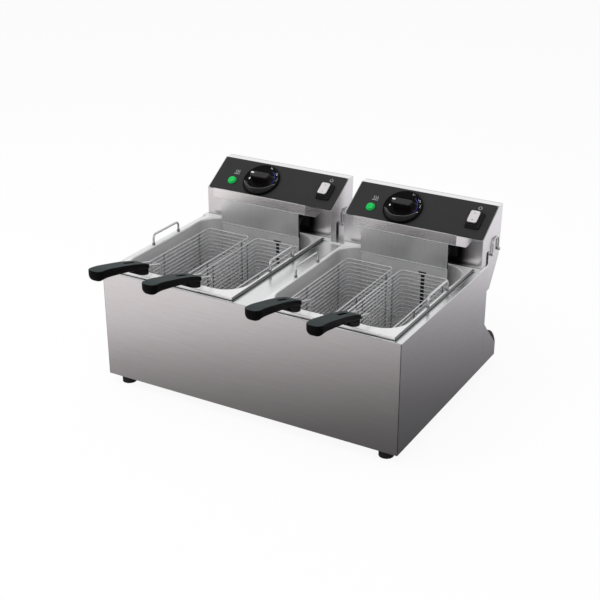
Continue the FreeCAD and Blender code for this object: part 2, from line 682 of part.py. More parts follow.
def make_switch_body():
    """Stepped black boot with a well for the rocker, its pivot pin and the contact block below the panel."""
    base = PANEL_THICKNESS
    top = base + SWITCH_HEIGHT
    low = box(-SWITCH_HALF_U, SWITCH_HALF_U, -SWITCH_HALF_V, SWITCH_HALF_V, base, base + SWITCH_HEIGHT / 2)
    half_u = SWITCH_HALF_U - SWITCH_STEP
    half_v = SWITCH_HALF_V - SWITCH_STEP
    block = box(-half_u, half_u, -half_v, half_v, -SWITCH_DEPTH, top)
    stem_u = ROCKER_HALF_U / 2 + GAP
    stem_v = 2 * PIVOT_RADIUS + ROCKER_STEM
    well = box(-stem_u, stem_u, -stem_v, stem_v, base, top)
    pin = Part.makeCylinder(PIVOT_RADIUS, 2 * stem_u, vec(-stem_u, 0, PIVOT_HEIGHT), vec(1, 0, 0))
    return lay_on_panel(fuse([low, block]).cut(well).fuse(pin), SWITCH_U, SWITCH_V)


def floor_box(u, half, height):
    """Block that stands on the head's floor between its face and its back, clear of both."""
    base = HEAD_BASE + SHEET
    return box(u - half, u + half, HEAD_FRONT + INSIDE_AIR, SLOT_FRONT - SHEET - INSIDE_AIR, base, base + height)


def make_interlock_switch():
    u = -HEAD_HALF + INTERLOCK_INSET + INTERLOCK_WIDTH / 2
    return floor_box(u, INTERLOCK_WIDTH / 2, INTERLOCK_HEIGHT)


# ---- moving controls

def make_knob():
    """Round dial with a raised grip bar from one edge to past the middle, on a blind bore."""
    base = PANEL_THICKNESS + KNOB_LIFT
    skirt = Part.makeCylinder(KNOB_RADIUS, KNOB_DISC, vec(0, 0, base))
    half = KNOB_BAR_WIDTH / 2
    end = KNOB_BAR_END - half
    start = -KNOB_RADIUS + KNOB_EDGE
    bar = box(start + half, end, -half, half, base, base + KNOB_HEIGHT)
    slope = Part.Face(Part.makePolygon([vec(start, -half, base), vec(start + half, -half, base),
                                        vec(start + half, -half, base + KNOB_HEIGHT),
                                        vec(start, -half, base + KNOB_DISC), vec(start, -half, base)]))
    nose = Part.makeCylinder(half, KNOB_HEIGHT, vec(end, 0, base))
    bore = Part.makeCylinder(SHAFT_RADIUS + SHAFT_FIT, SHAFT_HEIGHT + 1, vec(0, 0, 0))
    hollow = Part.makeCylinder(NECK_RADIUS + KNOB_NECK_AIR, KNOB_NECK_AIR, vec(0, 0, 0))
    whole = fuse([skirt, bar, slope.extrude(vec(0, 2 * half, 0)), nose])
    limit = Part.makeCylinder(KNOB_RADIUS, KNOB_HEIGHT, vec(0, 0, base))
    return lay_on_panel(whole.common(limit).cut(bore).cut(hollow), KNOB_U, KNOB_V)


def make_rocker():
    """Dished cap that tilts about the boot's pin, with a stem around the pin."""
    top = PANEL_THICKNESS + SWITCH_HEIGHT
    rise = ROCKER_HALF_V * math.tan(math.radians(ROCKER_TILT)) + GAP
    edge = PANEL_THICKNESS + ROCKER_TOP
    cap = prism([(-ROCKER_HALF_V, top + rise), (0, top + GAP), (ROCKER_HALF_V, top + rise), (ROCKER_HALF_V, edge),
                 (0, edge - ROCKER_DISH), (-ROCKER_HALF_V, edge)], -ROCKER_HALF_U, ROCKER_HALF_U)
    reach = PIVOT_RADIUS + ROCKER_STEM
    low = PIVOT_HEIGHT - reach
    stem = box(-ROCKER_HALF_U / 2, ROCKER_HALF_U / 2, -reach, reach, low, top + rise)
    bore = Part.makeCylinder(PIVOT_RADIUS + PIVOT_FIT, 2 * ROCKER_HALF_U, vec(-ROCKER_HALF_U, 0, PIVOT_HEIGHT),
                             vec(1, 0, 0))
    return lay_on_panel(cap.fuse(stem).cut(bore), SWITCH_U, SWITCH_V)


def make_side_handle(side):
    """Wire bail folded up against the head's side; its pins turn in the clips."""
    x = side * (HEAD_HALF + BAIL_OFF)
    top = BAIL_TOP - BAIL_WIRE
    path = eased([(x, BAIL_FRONT, BAIL_PIVOT_Z), (x, BAIL_FRONT, top), (x, BAIL_BACK, top),
                  (x, BAIL_BACK, BAIL_PIVOT_Z)], (BAIL_BEND, BAIL_BEND))
    reach = 2 * BAIL_WIRE + CLIP_WIDTH + 3 * GAP
    front = vec(x, BAIL_FRONT + BAIL_WIRE, BAIL_PIVOT_Z)
    back = vec(x, BAIL_BACK - BAIL_WIRE, BAIL_PIVOT_Z)
    pins = [Part.makeCylinder(BAIL_WIRE, reach, front, vec(0, -1, 0)),
            Part.makeCylinder(BAIL_WIRE, reach, back, vec(0, 1, 0))]
    return fuse([rod(path, BAIL_WIRE, BAIL_SIDES)] + pins)


# ---- baskets

def grille(length, height, bars, post):
    """Flat grille in the plane z = 0: full-length bars along x at the given heights, on a post at each end."""
    sheet = box(0, length, 0, height, 0, MESH_WIRE)
    for low, high in zip(bars[:-1], bars[1:]):
        sheet = sheet.cut(box(post, length - post, low + MESH_WIRE / 2, high - MESH_WIRE / 2, 0, MESH_WIRE))
    return sheet


def stand(shape, direction, place):
    """Stand a flat grille up: its length along the given level direction, its height along z."""
    raised = shape.copy()
    raised.rotate(vec(0, 0, 0), vec(1, 0, 0), 90)
    raised.rotate(vec(0, 0, 0), vec(0, 0, 1), direction)
    raised.translate(place)
    return raised


def make_basket_mesh():
    """Five grilles: two long sides, front and back between them, and the floor."""
    outer = BASKET_HALF - RIM_WIRE / 2
    inner = outer - MESH_WIRE
    front = BASKET_FRONT + RIM_WIRE / 2
    back = BASKET_BACK - RIM_WIRE / 2
    height = RIM_Z - RIM_WIRE - BASKET_FLOOR
    rows = [RIM_Z - row * ROW_PITCH - BASKET_FLOOR for row in range(ROWS, 0, -1)]
    rows.append(height - MESH_WIRE / 2)
    side = grille(back - front, height, rows, MESH_WIRE)
    end = grille(2 * inner, height, rows, MESH_WIRE)
    count = max(2, round((back - front - 3 * MESH_WIRE) / FLOOR_PITCH) + 1)
    run = back - front - 2 * MESH_WIRE
    crosses = [MESH_WIRE / 2 + (run - MESH_WIRE) * index / (count - 1) for index in range(count)]
    floor = grille(2 * inner, run, crosses, MESH_WIRE)
    floor.translate(vec(-inner, front + MESH_WIRE, BASKET_FLOOR))
    return Part.makeCompound([
        stand(side, 90, vec(-outer, front, BASKET_FLOOR)),
        stand(side, 90, vec(inner, front, BASKET_FLOOR)),
        stand(end, 0, vec(-inner, front + MESH_WIRE, BASKET_FLOOR)),
        stand(end, 0, vec(-inner, back, BASKET_FLOOR)),
        floor])


def make_basket_frame():
    """Rim wire, and the two bracket wires that rise from the front and run into the grip."""
    x = BASKET_HALF - RIM_WIRE
    y0 = BASKET_FRONT + RIM_WIRE
    y1 = BASKET_BACK - RIM_WIRE
    knee = RIM_Z + BRACKET_KNEE
    rise = (GRIP_WIRE_Z - knee) / (GRIP_WIRE_Y - y0)
    parts = []
    for side in (-1, 1):
        parts.append(rod([vec(0, y0, RIM_Z), vec(side * x, y0, RIM_Z), vec(side * x, y1, RIM_Z), vec(0, y1, RIM_Z)],
                         RIM_WIRE))
        u = side * BRACKET_HALF
        parts.append(rod([vec(u, y0, RIM_Z), vec(u, y0, knee),
                          vec(u, GRIP_WIRE_Y - GRIP_WIRE_DEPTH, GRIP_WIRE_Z - GRIP_WIRE_DEPTH * rise)], BRACKET_WIRE))
    return fuse(parts)


def make_basket_grip(frame):
    """Moulded grip: slim tapering handle with a deeper block that the bracket's wires run into."""
    over = [(GRIP_LENGTH, GRIP_TIP_TOP), (GRIP_LENGTH - GRIP_FLAT, GRIP_FLAT_TOP), (GRIP_BEND, GRIP_BEND_TOP),
            (GRIP_BLOCK, GRIP_BLOCK_TOP), (GRIP_SHOULDER, GRIP_SHOULDER_TOP), (0, GRIP_END_TOP)]
    under = [(0, -GRIP_FACE_UNDER), (GRIP_TOE, -GRIP_TOE_UNDER), (GRIP_HEEL, -GRIP_HEEL_UNDER),
             (GRIP_KNEE, GRIP_KNEE_UNDER), (GRIP_BLOCK, GRIP_BLOCK_UNDER), (GRIP_BEND, GRIP_BEND_UNDER),
             (GRIP_LENGTH, GRIP_TIP_UNDER)]
    outline = [(GRIP_WIRE_Y - out, GRIP_WIRE_Z + up) for out, up in over + under]
    block = prism(outline, -GRIP_HALF, GRIP_HALF)
    tip = GRIP_WIRE_Y - GRIP_LENGTH
    plan = rounded_face(-GRIP_HALF, GRIP_HALF, tip, GRIP_WIRE_Y + 2 * GRIP_TIP_RADIUS, GRIP_TIP_RADIUS,
                        GRIP_WIRE_Z - GRIP_LENGTH / 2)
    return block.common(plan.extrude(vec(0, 0, GRIP_LENGTH))).cut(frame)


# ---- assembly

def moved(shape, x):
    copy = shape.copy()
    copy.translate(vec(x, 0, 0))
    return copy


def build_parts():
    parts = {
        "body_shell": make_body_shell(),
        "deck_panel": make_deck_panel(),
        "head_rest_plate": make_head_rest_plate(),
        "base_plate": make_base_plate(),
        "feet": make_feet(),
        "rear_box": make_rear_box(),
        "rear_bumper": make_rear_bumper(),
    }
    per_side = {
        "tank": make_tank(),
        "tank_handles": make_tank_handles(),
        "head_shell": make_head_shell(),
        "head_back": make_head_back(),
        "cable_gland": make_cable_gland(),
        "control_panel": make_control_panel(),
        "hanging_rail": make_hanging_rail(),
        "shield_plate": make_shield_plate(),
        "heating_element": make_heating_element(),
        "sensor_bulbs": make_sensor_bulbs(),
        "thermostat": make_thermostat(),
        "pilot_lamp": make_pilot_lamp(),
        "switch_body": make_switch_body(),
        "terminal_block": floor_box(TERMINAL_U, TERMINAL_HALF, TERMINAL_HEIGHT),
        "safety_cutout": floor_box(CUTOUT_U, CUTOUT_HALF, CUTOUT_HEIGHT),
        "interlock_switch": make_interlock_switch(),
        "knob": make_knob(),
        "rocker": make_rocker(),
        "side_handle_a": make_side_handle(-1),
        "side_handle_b": make_side_handle(1),
    }
    for side, centre in SIDES:
        for name, shape in per_side.items():
            parts[f"{name}_{side}"] = moved(shape, centre)
    frame = make_basket_frame()
    basket = {"basket_mesh": make_basket_mesh(), "basket_frame": frame, "basket_grip": make_basket_grip(frame)}
    number = 0
    for _, centre in SIDES:
        for offset in (-BASKET_U, BASKET_U):
            number += 1
            for name, shape in basket.items():
                parts[f"{name}_{number}"] = moved(shape, centre + offset)
    return parts


def main():
    parts = build_parts()
    whole = Part.makeCompound(list(parts.values())).BoundBox
    shift = vec(0, -(whole.YMin + whole.YMax) / 2, -whole.ZMin)
    os.makedirs("parts", exist_ok=True)
    for name, shape in parts.items():
        shape.translate(shift)
        shape.exportStep(f"parts/{name}.step")
    print("shift", shift.x, shift.y, shift.z, "size", whole.XLength, whole.YLength, whole.ZLength)


main()
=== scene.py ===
import json
import math

import bmesh
import bpy
from mathutils import Matrix, Vector


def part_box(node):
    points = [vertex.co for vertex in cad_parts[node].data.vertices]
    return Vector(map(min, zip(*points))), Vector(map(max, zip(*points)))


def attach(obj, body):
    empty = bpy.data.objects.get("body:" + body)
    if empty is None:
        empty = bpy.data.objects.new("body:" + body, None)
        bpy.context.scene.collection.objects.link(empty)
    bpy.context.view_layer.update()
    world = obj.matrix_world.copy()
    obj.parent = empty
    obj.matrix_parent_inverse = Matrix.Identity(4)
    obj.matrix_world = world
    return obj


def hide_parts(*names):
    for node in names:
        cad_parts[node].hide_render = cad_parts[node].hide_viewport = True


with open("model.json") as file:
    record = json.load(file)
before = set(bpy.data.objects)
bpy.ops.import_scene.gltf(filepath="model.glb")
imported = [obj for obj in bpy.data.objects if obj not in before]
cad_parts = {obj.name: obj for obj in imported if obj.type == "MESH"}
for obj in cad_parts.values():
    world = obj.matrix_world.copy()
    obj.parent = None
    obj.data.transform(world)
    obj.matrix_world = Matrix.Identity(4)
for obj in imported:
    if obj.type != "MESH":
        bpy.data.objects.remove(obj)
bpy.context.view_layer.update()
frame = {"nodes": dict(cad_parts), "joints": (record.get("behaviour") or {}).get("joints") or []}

scene = bpy.context.scene
mm = 0.001
sides = ("left", "right")

casingLow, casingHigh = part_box("body_shell")
casingMid = Vector(((casingLow.x + casingHigh.x) / 2, (casingLow.y + casingHigh.y) / 2, casingLow.z))


# small tools

class Settings(dict):  # a dictionary whose values are read like size.wire
    __getattr__ = dict.__getitem__


def scaled(shape):  # millimetres in metres
    return Settings({key: value * mm for key, value in shape.items()})


def adjusted(thing, **changes):
    for key, value in changes.items():
        setattr(thing, key, value)
    return thing


def operation(name, swapped=False):
    def run(self, other):
        return self.graph.maths(name, *(other, self) if swapped else (self, other))
    return run


class Value:  # a socket that can be used in sums
    def __init__(self, graph, socket):
        self.graph = graph
        self.socket = socket

    __add__ = __radd__ = operation("ADD")
    __sub__ = operation("SUBTRACT")
    __rsub__ = operation("SUBTRACT", True)
    __mul__ = __rmul__ = operation("MULTIPLY")
    __truediv__ = operation("DIVIDE")
    __gt__ = operation("GREATER_THAN")
    __lt__ = operation("LESS_THAN")


class Graph:  # a node tree with one way to add a node
    def __init__(self, tree):
        self.tree = tree

    def node(self, kind, values=None, settings=None, output=0):
        made = self.tree.nodes.new(kind)
        for key, setting in (settings or {}).items():
            if key == "stops":
                fillRamp(made.color_ramp, setting)
            else:
                setattr(made, key, setting)
        for key, value in (values or {}).items():
            if isinstance(value, Value):
                self.tree.links.new(value.socket, made.inputs[key])
            else:
                made.inputs[key].default_value = value
        return Value(self, made.outputs[output])

    def geometry(self, kind, values, settings=None):
        return self.node("GeometryNode" + kind, values, settings)

    def shade(self, kind, values=None, settings=None, output=0):
        return self.node("ShaderNode" + kind, values, settings, output)

    def maths(self, name, *values):
        return self.shade("Math", dict(enumerate(values)), {"operation": name})

    def mixColour(self, factor, first, second, blend="MIX"):
        settings = {"data_type": "RGBA", "blend_type": blend}
        return self.shade("Mix", {0: factor, 6: first, 7: second}, settings, 2)

    def mixVector(self, factor, first, second):
        return self.shade("Mix", {0: factor, 4: first, 5: second}, {"data_type": "VECTOR"}, 1)

    def vector(self, x, y, z):
        return self.shade("CombineXYZ", {0: x, 1: y, 2: z})

    def axis(self, vector, index):
        return self.shade("SeparateXYZ", {0: vector}, None, index)

    def rise(self, value, start, end):  # from 0 at the start to 1 at the end, smoothly
        values = {"Value": value, "From Min": start, "From Max": end}
        return self.shade("MapRange", values, {"interpolation_type": "SMOOTHSTEP"})

    def stretch(self, vector, scale):
        return self.shade("VectorMath", {0: vector, 1: scale}, {"operation": "MULTIPLY"})

    def noise(self, vector, scale, detail, roughness):
        values = {"Vector": vector, "Scale": scale, "Detail": detail, "Roughness": roughness}
        return self.shade("TexNoise", values)

    def joined(self, *parts):
        together = self.tree.nodes.new("GeometryNodeJoinGeometry")
        for part in parts:
            self.tree.links.new(part.socket, together.inputs[0])
        return Value(self, together.outputs[0])


def fillRamp(ramp, stops):
    while len(ramp.elements) < len(stops):
        ramp.elements.new(1.0)
    for element, (position, colour) in zip(ramp.elements, stops):
        element.position = position
        element.color = colour


class Finish(Graph):  # a material with its Principled shader
    def __init__(self, name, **constants):
        self.material = bpy.data.materials.new(name)
        self.material.use_nodes = True
        super().__init__(self.material.node_tree)
        self.shader = self.tree.nodes["Principled BSDF"]
        self.where = self.shade("TexCoord", output="Object")
        for key, value in constants.items():
            self.shader.inputs[key.replace("_", " ")].default_value = value

    def feed(self, socketName, value):
        self.tree.links.new(value.socket, self.shader.inputs[socketName])

    def bump(self, height, strength, distance):
        values = {"Height": height, "Strength": strength, "Distance": distance}
        self.feed("Normal", self.shade("Bump", values))

    def place(self, index):
        return self.axis(self.where, index)

    def lift(self):  # how far a face looks up
        return self.axis(self.shade("NewGeometry", output="Normal"), 2)

    def fromHeadMiddle(self):  # distance across from the middle of the nearest head
        return self.maths("WRAP", self.place(0), headPitch, 0.0) - headPitch / 2


def grey(value):
    return (value, value, value, 1.0)


# finishes

brush = Settings(run=26.0, across=620.0, fine=2.6, coarse=0.75, contrast=0.5, cloud=5.0, coarseRough=0.03,
                 cloudRough=0.05, oilFilm=0.28, level=0.75, crown=0.9, relief=0.2, depth=0.00002)
satin = Settings(cloud=22.0, grit=900.0, cloudRough=0.12, relief=0.15, depth=0.00002, burnBand=0.025)
plastic = Settings(cloud=40.0, cloudRough=0.1, relief=0.3, depth=0.00004, wornFrom=0.55, wornFull=0.85)
# the dark joint of the front seams, and the colours of the painted shades
seamAndPaintedShades = Settings(seam=(0.16, 0.155, 0.16, 1), heated=(0.012, 0.011, 0.011, 1), burnt=(0.02, 0.019, 0.019, 1),
                  dull=(0.17, 0.17, 0.175, 1))
headPitch = casingHigh.x - casingMid.x + 10 * mm  # from one head to the next


def brushedSteel(name, light, dark, rough, grainUp=False, paintedShade=None, crown=None, seam=None,
                 oiledBelow=None):
    finish = Finish(name, Metallic=1.0)
    if oiledBelow:  # a film of oil dulls the mirror
        finish.feed("Metallic", 1.0 - (finish.place(2) < oiledBelow) * brush.oilFilm)
    lift = finish.lift()
    level = finish.maths("ABSOLUTE", lift) > brush.level
    run, across = brush.run, brush.across
    upright = finish.stretch(finish.where, (across, across, run) if grainUp else (run, run, across))
    flat = finish.stretch(finish.where, (run, across, run))
    grainPlace = finish.mixVector(level, upright, flat)
    fine = finish.noise(grainPlace, brush.fine, 2.0, 0.6)
    grain = finish.noise(grainPlace, 1.0, 3.0, 0.65)
    coarse = finish.noise(grainPlace, brush.coarse, 3.0, 0.6)
    cloud = finish.noise(finish.where, brush.cloud, 2.0, 0.5)
    streak = grain * 0.5 + fine * 0.5
    colour = finish.mixColour((coarse - 0.5) * brush.contrast + streak, dark, light)
    if seam:  # the folded corners at the front
        beside = finish.maths("ABSOLUTE", finish.place(0)) > seam.half
        colour = finish.mixColour(beside * (finish.place(1) < seam.front), colour, seamAndPaintedShades.seam)
    if crown:  # level faces catch the light from above
        colour = finish.mixColour(lift > brush.crown, colour, crown)
    if paintedShade:  # painted shade on the head's front beside the shield, under the rail, fading round it
        colour = finish.mixColour(paintedShadeHalo(finish, paintedShade), colour, seamAndPaintedShades.heated)
    finish.feed("Base Color", colour)
    swing = (coarse - 0.5) * brush.coarseRough + (cloud - 0.5) * brush.cloudRough
    finish.feed("Roughness", swing + rough)
    finish.bump(streak, brush.relief, brush.depth)
    return finish.material


def paintedShadeHalo(finish, spot):  # painted shade: full inside the spot, fading round it, on one side of the head only
    local = finish.fromHeadMiddle()
    beside = finish.maths("MAXIMUM", finish.maths("ABSOLUTE", local) - spot.halfWidth, 0.0)
    height = finish.maths("ABSOLUTE", finish.place(2) - spot.height)
    above = finish.maths("MAXIMUM", height - spot.halfHeight, 0.0)
    away = finish.maths("SQRT", beside * beside + above * above)
    fade = 1.0 - finish.rise(away, 0.0, spot.fade)
    ownSide = finish.rise(local, 0.0, spot.halfWidth * 0.8)
    return fade * ownSide * (finish.place(1) < casingHigh.y)


def satinSteel(name, light, dark, rough, metal=1.0, shadedAbove=None, shadedFlangeSide=None):
    finish = Finish(name, Metallic=metal)
    cloud = finish.noise(finish.where, satin.cloud, 4.0, 0.6)
    grit = finish.noise(finish.where, satin.grit, 2.0, 0.5)
    tone = finish.mixColour(cloud, dark, light)
    if shadedAbove:  # painted shade: black above this height, where the tubes stand in the shadow behind the shield
        burnt = finish.rise(finish.place(2), shadedAbove - satin.burnBand, shadedAbove)
        tone = finish.mixColour(burnt, tone, seamAndPaintedShades.burnt)
    if shadedFlangeSide:  # painted shade on the outer sides of the flange
        outer = finish.maths("ABSOLUTE", finish.fromHeadMiddle()) > shadedFlangeSide
        tone = finish.mixColour(outer, tone, seamAndPaintedShades.dull)
    finish.feed("Base Color", tone)
    finish.feed("Roughness", (cloud - 0.5) * satin.cloudRough + rough)
    finish.bump(grit, satin.relief, satin.depth)
    return finish.material


def mouldedPlastic(name, colour, paler, rough, grit=700.0, upper=None, **constants):
    finish = Finish(name, **{"Specular_IOR_Level": 0.2, **constants})
    cloud = finish.noise(finish.where, plastic.cloud, 3.0, 0.5)
    texture = finish.noise(finish.where, grit, 2.0, 0.5)
    tone = finish.mixColour(cloud, colour, paler)
    if upper:  # painted sheen: faces that look up are a little paler, as if lit from above
        paintedSheen = finish.rise(finish.lift(), plastic.wornFrom, plastic.wornFull)
        tone = finish.mixColour(paintedSheen, tone, upper)
    finish.feed("Base Color", tone)
    finish.feed("Roughness", (cloud - 0.5) * plastic.cloudRough + rough)
    finish.bump(texture, plastic.relief, plastic.depth)
    return finish.material


# where the head's front gets painted shade, beside the shield and under the rail
shadeBesideShield = scaled(Settings(halfWidth=92.0, height=236.0, halfHeight=16.0, fade=34.0))
reach = scaled(Settings(seam=0.9, tankEdge=1.0, shieldBend=110.0, oilLine=195.0))
frontCorner = Settings(half=casingHigh.x - reach.seam, front=casingLow.y + reach.seam)
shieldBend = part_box("shield_plate_left")[0].z + reach.shieldBend
tankLow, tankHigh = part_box("tank_left")
tankEdge = (tankHigh.x - tankLow.x) / 2 - reach.tankEdge
finishes = {
    "casing": brushedSteel("casingBrushedSteel", (0.80, 0.78, 0.785, 1), (0.62, 0.60, 0.605, 1), 0.3,
                           seam=frontCorner),
    # the head's front carries painted shade beside the shield, and its level faces a painted highlight
    "head": brushedSteel("headBrushedSteel", (0.82, 0.80, 0.805, 1), (0.66, 0.64, 0.645, 1), 0.3,
                         paintedShade=shadeBesideShield, crown=grey(0.97)),
    "rail": brushedSteel("railBrushedSteel", (0.92, 0.89, 0.895, 1), (0.76, 0.73, 0.735, 1), 0.28),
    "shield": brushedSteel("shieldBrushedSteel", grey(0.94), grey(0.76), 0.34, grainUp=True,
                           oiledBelow=shieldBend),
    "deck": brushedSteel("deckBrightSteel", (0.90, 0.92, 0.92, 1), (0.80, 0.82, 0.82, 1), 0.26),
    # painted shade on the flange's outer sides
    "tank": satinSteel("drawnTankSteel", grey(0.90), grey(0.82), 0.33, 0.6, shadedFlangeSide=tankEdge),
    "wire": satinSteel("polishedWire", (0.72, 0.72, 0.73, 1), (0.60, 0.60, 0.61, 1), 0.24, 0.8),
    # painted shade: a darker copy of the wire steel for the baskets' uprights, also worn by the loops' feet
    "upright": satinSteel("shadedWire", (0.26, 0.26, 0.27, 1), (0.18, 0.18, 0.19, 1), 0.35, 0.6),
    "bulb": satinSteel("bulbCopperTone", (0.62, 0.60, 0.58, 1), (0.5, 0.48, 0.46, 1), 0.3),
    # painted shade on the tubes above the deck, for the dark space behind the shields
    "element": satinSteel("elementSheath", (0.30, 0.29, 0.285, 1), (0.20, 0.19, 0.185, 1), 0.42, 0.7,
                          shadedAbove=reach.oilLine),
    "zinc": satinSteel("zincPlate", (0.55, 0.56, 0.58, 1), (0.42, 0.43, 0.45, 1), 0.45),
    "print": mouldedPlastic("printWhite", (0.66, 0.67, 0.68, 1), (0.72, 0.73, 0.74, 1), 0.5),
    "printDim": mouldedPlastic("printPaleGrey", (0.36, 0.36, 0.365, 1), (0.40, 0.40, 0.41, 1), 0.5),
    "violet": mouldedPlastic("printViolet", (0.018, 0.018, 0.17, 1), (0.024, 0.024, 0.21, 1), 0.5),
    # painted sheen on the grips' upward faces
    "grip": mouldedPlastic("gripBlackPlastic", (0.002, 0.0018, 0.0018, 1), (0.004, 0.0035, 0.0035, 1), 0.45,
                           upper=(0.026, 0.034, 0.034, 1), Specular_IOR_Level=0.04),
    "panel": mouldedPlastic("panelBlackLaminate", (0.022, 0.022, 0.023, 1), (0.026, 0.026, 0.027, 1), 0.4,
                            1500.0),
    "knob": mouldedPlastic("knobGlossBlack", grey(0.002), (0.003, 0.003, 0.004, 1), 0.28,
                           Specular_IOR_Level=0.1),
    # painted highlight on the bar's top
    "knobBar": mouldedPlastic("knobBarBlack", (0.003, 0.002, 0.002, 1), (0.004, 0.003, 0.003, 1), 0.3,
                              upper=(0.03, 0.029, 0.03, 1), Specular_IOR_Level=0.15),
    # painted light: a paler copy of the knob's black for the cup's wall, with a painted highlight on its rim
    "knobCup": mouldedPlastic("knobCupBlack", grey(0.032), grey(0.040), 0.4, upper=(0.11, 0.11, 0.115, 1)),
    "boot": mouldedPlastic("bootBlackRubber", grey(0.008), grey(0.014), 0.3),
    "cap": mouldedPlastic("capPaleGrey", (0.52, 0.50, 0.51, 1), (0.56, 0.54, 0.55, 1), 0.25, Coat_Weight=0.3),
    "lens": mouldedPlastic("lensGreen", (0.004, 0.4, 0.07, 1), (0.008, 0.5, 0.09, 1), 0.25, Coat_Weight=0.15),
    "rubber": mouldedPlastic("footRubber", grey(0.01), grey(0.02), 0.6),
    "ceramic": mouldedPlastic("terminalCeramic", (0.62, 0.6, 0.55, 1), (0.7, 0.68, 0.62, 1), 0.5),
}
print("finishes ready:", len(finishes))


# mesh tools

def newObject(name, mesh):
    made = bpy.data.objects.new(name, mesh)
    scene.collection.objects.link(made)
    return made


def meshFrom(name, vertices, faces):
    mesh = bpy.data.meshes.new(name)
    mesh.from_pydata([tuple(vertex) for vertex in vertices], [], faces)
    work = bmesh.new()
    work.from_mesh(mesh)
    bmesh.ops.remove_doubles(work, verts=work.verts, dist=0.000001)
    bmesh.ops.recalc_face_normals(work, faces=work.faces)
    work.to_mesh(mesh)
    work.free()
    return mesh


def evaluatedMesh(thing):
    bpy.context.view_layer.update()
    shown = thing.evaluated_get(bpy.context.evaluated_depsgraph_get())
    return bpy.data.meshes.new_from_object(shown)


def applied(thing):  # the mesh with every modifier in it
    mesh = evaluatedMesh(thing)
    old = thing.data
    thing.modifiers.clear()
    thing.data = mesh
    bpy.data.meshes.remove(old)
    return thing


def meshOfCurve(name, curve):
    thing = newObject(name, curve)
    mesh = evaluatedMesh(thing)
    bpy.data.objects.remove(thing)
    return newObject(name, mesh)


def softenNormals(thing, keepSharp=True):
    thing.modifiers.new("weight", "WEIGHTED_NORMAL").keep_sharp = keepSharp
    return applied(thing)


def softenEdges(thing, width, segments=2, angle=30.0):
    adjusted(thing.modifiers.new("edge", "BEVEL"), width=width, segments=segments, limit_method="ANGLE",
             angle_limit=math.radians(angle), use_clamp_overlap=True, miter_outer="MITER_ARC")
    return softenNormals(thing)


def smooth(thing):
    thing.data.polygons.foreach_set("use_smooth", [True] * len(thing.data.polygons))
    return thing


def seat(thing, finishName, body, replaced=()):
    thing.data.materials.clear()
    thing.data.materials.append(finishes[finishName])
    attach(thing, body)
    if replaced:
        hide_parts(*replaced)


def join(name, things):
    work = bmesh.new()
    for thing in things:
        work.from_mesh(thing.data)
    mesh = bpy.data.meshes.new(name)
    work.to_mesh(mesh)
    work.free()
    for thing in things:
        bpy.data.objects.remove(thing)
    return newObject(name, mesh)


def roundedPath(corners, bends, steps=6):
    corners = [Vector(corner) for corner in corners]
    points = [corners[0]]
    for index, bend in enumerate(bends, 1):
        corner = corners[index]
        before = (corners[index - 1] - corner).normalized()
        after = (corners[index + 1] - corner).normalized()
        half = before.angle(after) / 2
        centre = corner + (before + after).normalized() * bend / math.sin(half)
        start = (corner + before * bend / math.tan(half) - centre).normalized()
        end = (corner + after * bend / math.tan(half) - centre).normalized()
        points += [centre + start.slerp(end, step / steps) * bend for step in range(steps + 1)]
    return points + corners[-1:]


def tube(name, points, radius, sides=12):
    line = adjusted(bpy.data.curves.new(name, "CURVE"), dimensions="3D", bevel_depth=radius,
                    bevel_resolution=max(0, sides // 4 - 1), use_fill_caps=True)
    spline = line.splines.new("POLY")
    spline.points.add(len(points) - 1)
    for point, place in zip(spline.points, points):
        point.co = (*place, 1.0)
    return smooth(meshOfCurve(name, line))


def ringLoft(rings, closeStart=True, closeEnd=True):
    count = len(rings[0])
    vertices = [point for ring in rings for point in ring]
    faces = []
    for row in range(len(rings) - 1):
        near, far = row * count, (row + 1) * count
        for index in range(count):
            after = (index + 1) % count
            faces.append((near + index, near + after, far + after, far + index))
    if closeStart:
        faces.append(tuple(reversed(range(count))))
    if closeEnd:
        faces.append(tuple(range((len(rings) - 1) * count, len(rings) * count)))
    return vertices, faces


def lofted(name, rings):
    return newObject(name, meshFrom(name, *ringLoft(rings)))


def slab(name, outline, ends, place):  # a flat outline carried from one end to the other
    return lofted(name, [[Vector(place(u, v, end)) for u, v in outline] for end in ends])


def cornerArcs(halfX, halfY, radii, steps):  # a rectangle with its own radius at each corner
    points = []
    for quarter, (signX, signY) in enumerate(((1, 1), (-1, 1), (-1, -1), (1, -1))):
        radius = radii[quarter]
        for step in range(steps + 1):
            angle = (quarter + step / steps) * math.pi / 2
            points.append(((halfX - radius) * signX + radius * math.cos(angle),
                           (halfY - radius) * signY + radius * math.sin(angle)))
    return points


def roundRect(halfX, halfY, radius, steps=10):
    return cornerArcs(halfX, halfY, (radius,) * 4, steps)


def lathe(name, profile, steps):  # radius and height pairs turned round the upright axis
    turns = [2 * math.pi * step / steps for step in range(steps)]
    rings = [[Vector((radius * math.cos(turn), radius * math.sin(turn), height)) for turn in turns]
             for radius, height in profile]
    return smooth(lofted(name, rings))


def moved(thing, matrix):
    thing.data.transform(matrix)
    return thing


def jointOf(name):
    return next(joint for joint in frame["joints"] if joint["name"] == name)


def middleOf(low, high):  # across
    return (low.x + high.x) / 2


# sheet metal and housings: copies of the construction with eased edges

def dress(node, finishName, body, edge):
    mesh = frame["nodes"][node].data.copy()
    work = bmesh.new()
    work.from_mesh(mesh)
    bmesh.ops.remove_doubles(work, verts=work.verts, dist=0.000002)
    bmesh.ops.join_triangles(work, faces=work.faces, angle_face_threshold=math.radians(0.5),
                             angle_shape_threshold=math.radians(60.0))
    work.to_mesh(mesh)
    work.free()
    thing = smooth(newObject(node + "_finished", mesh))
    seat(softenEdges(thing, edge * mm), finishName, body, (node,))


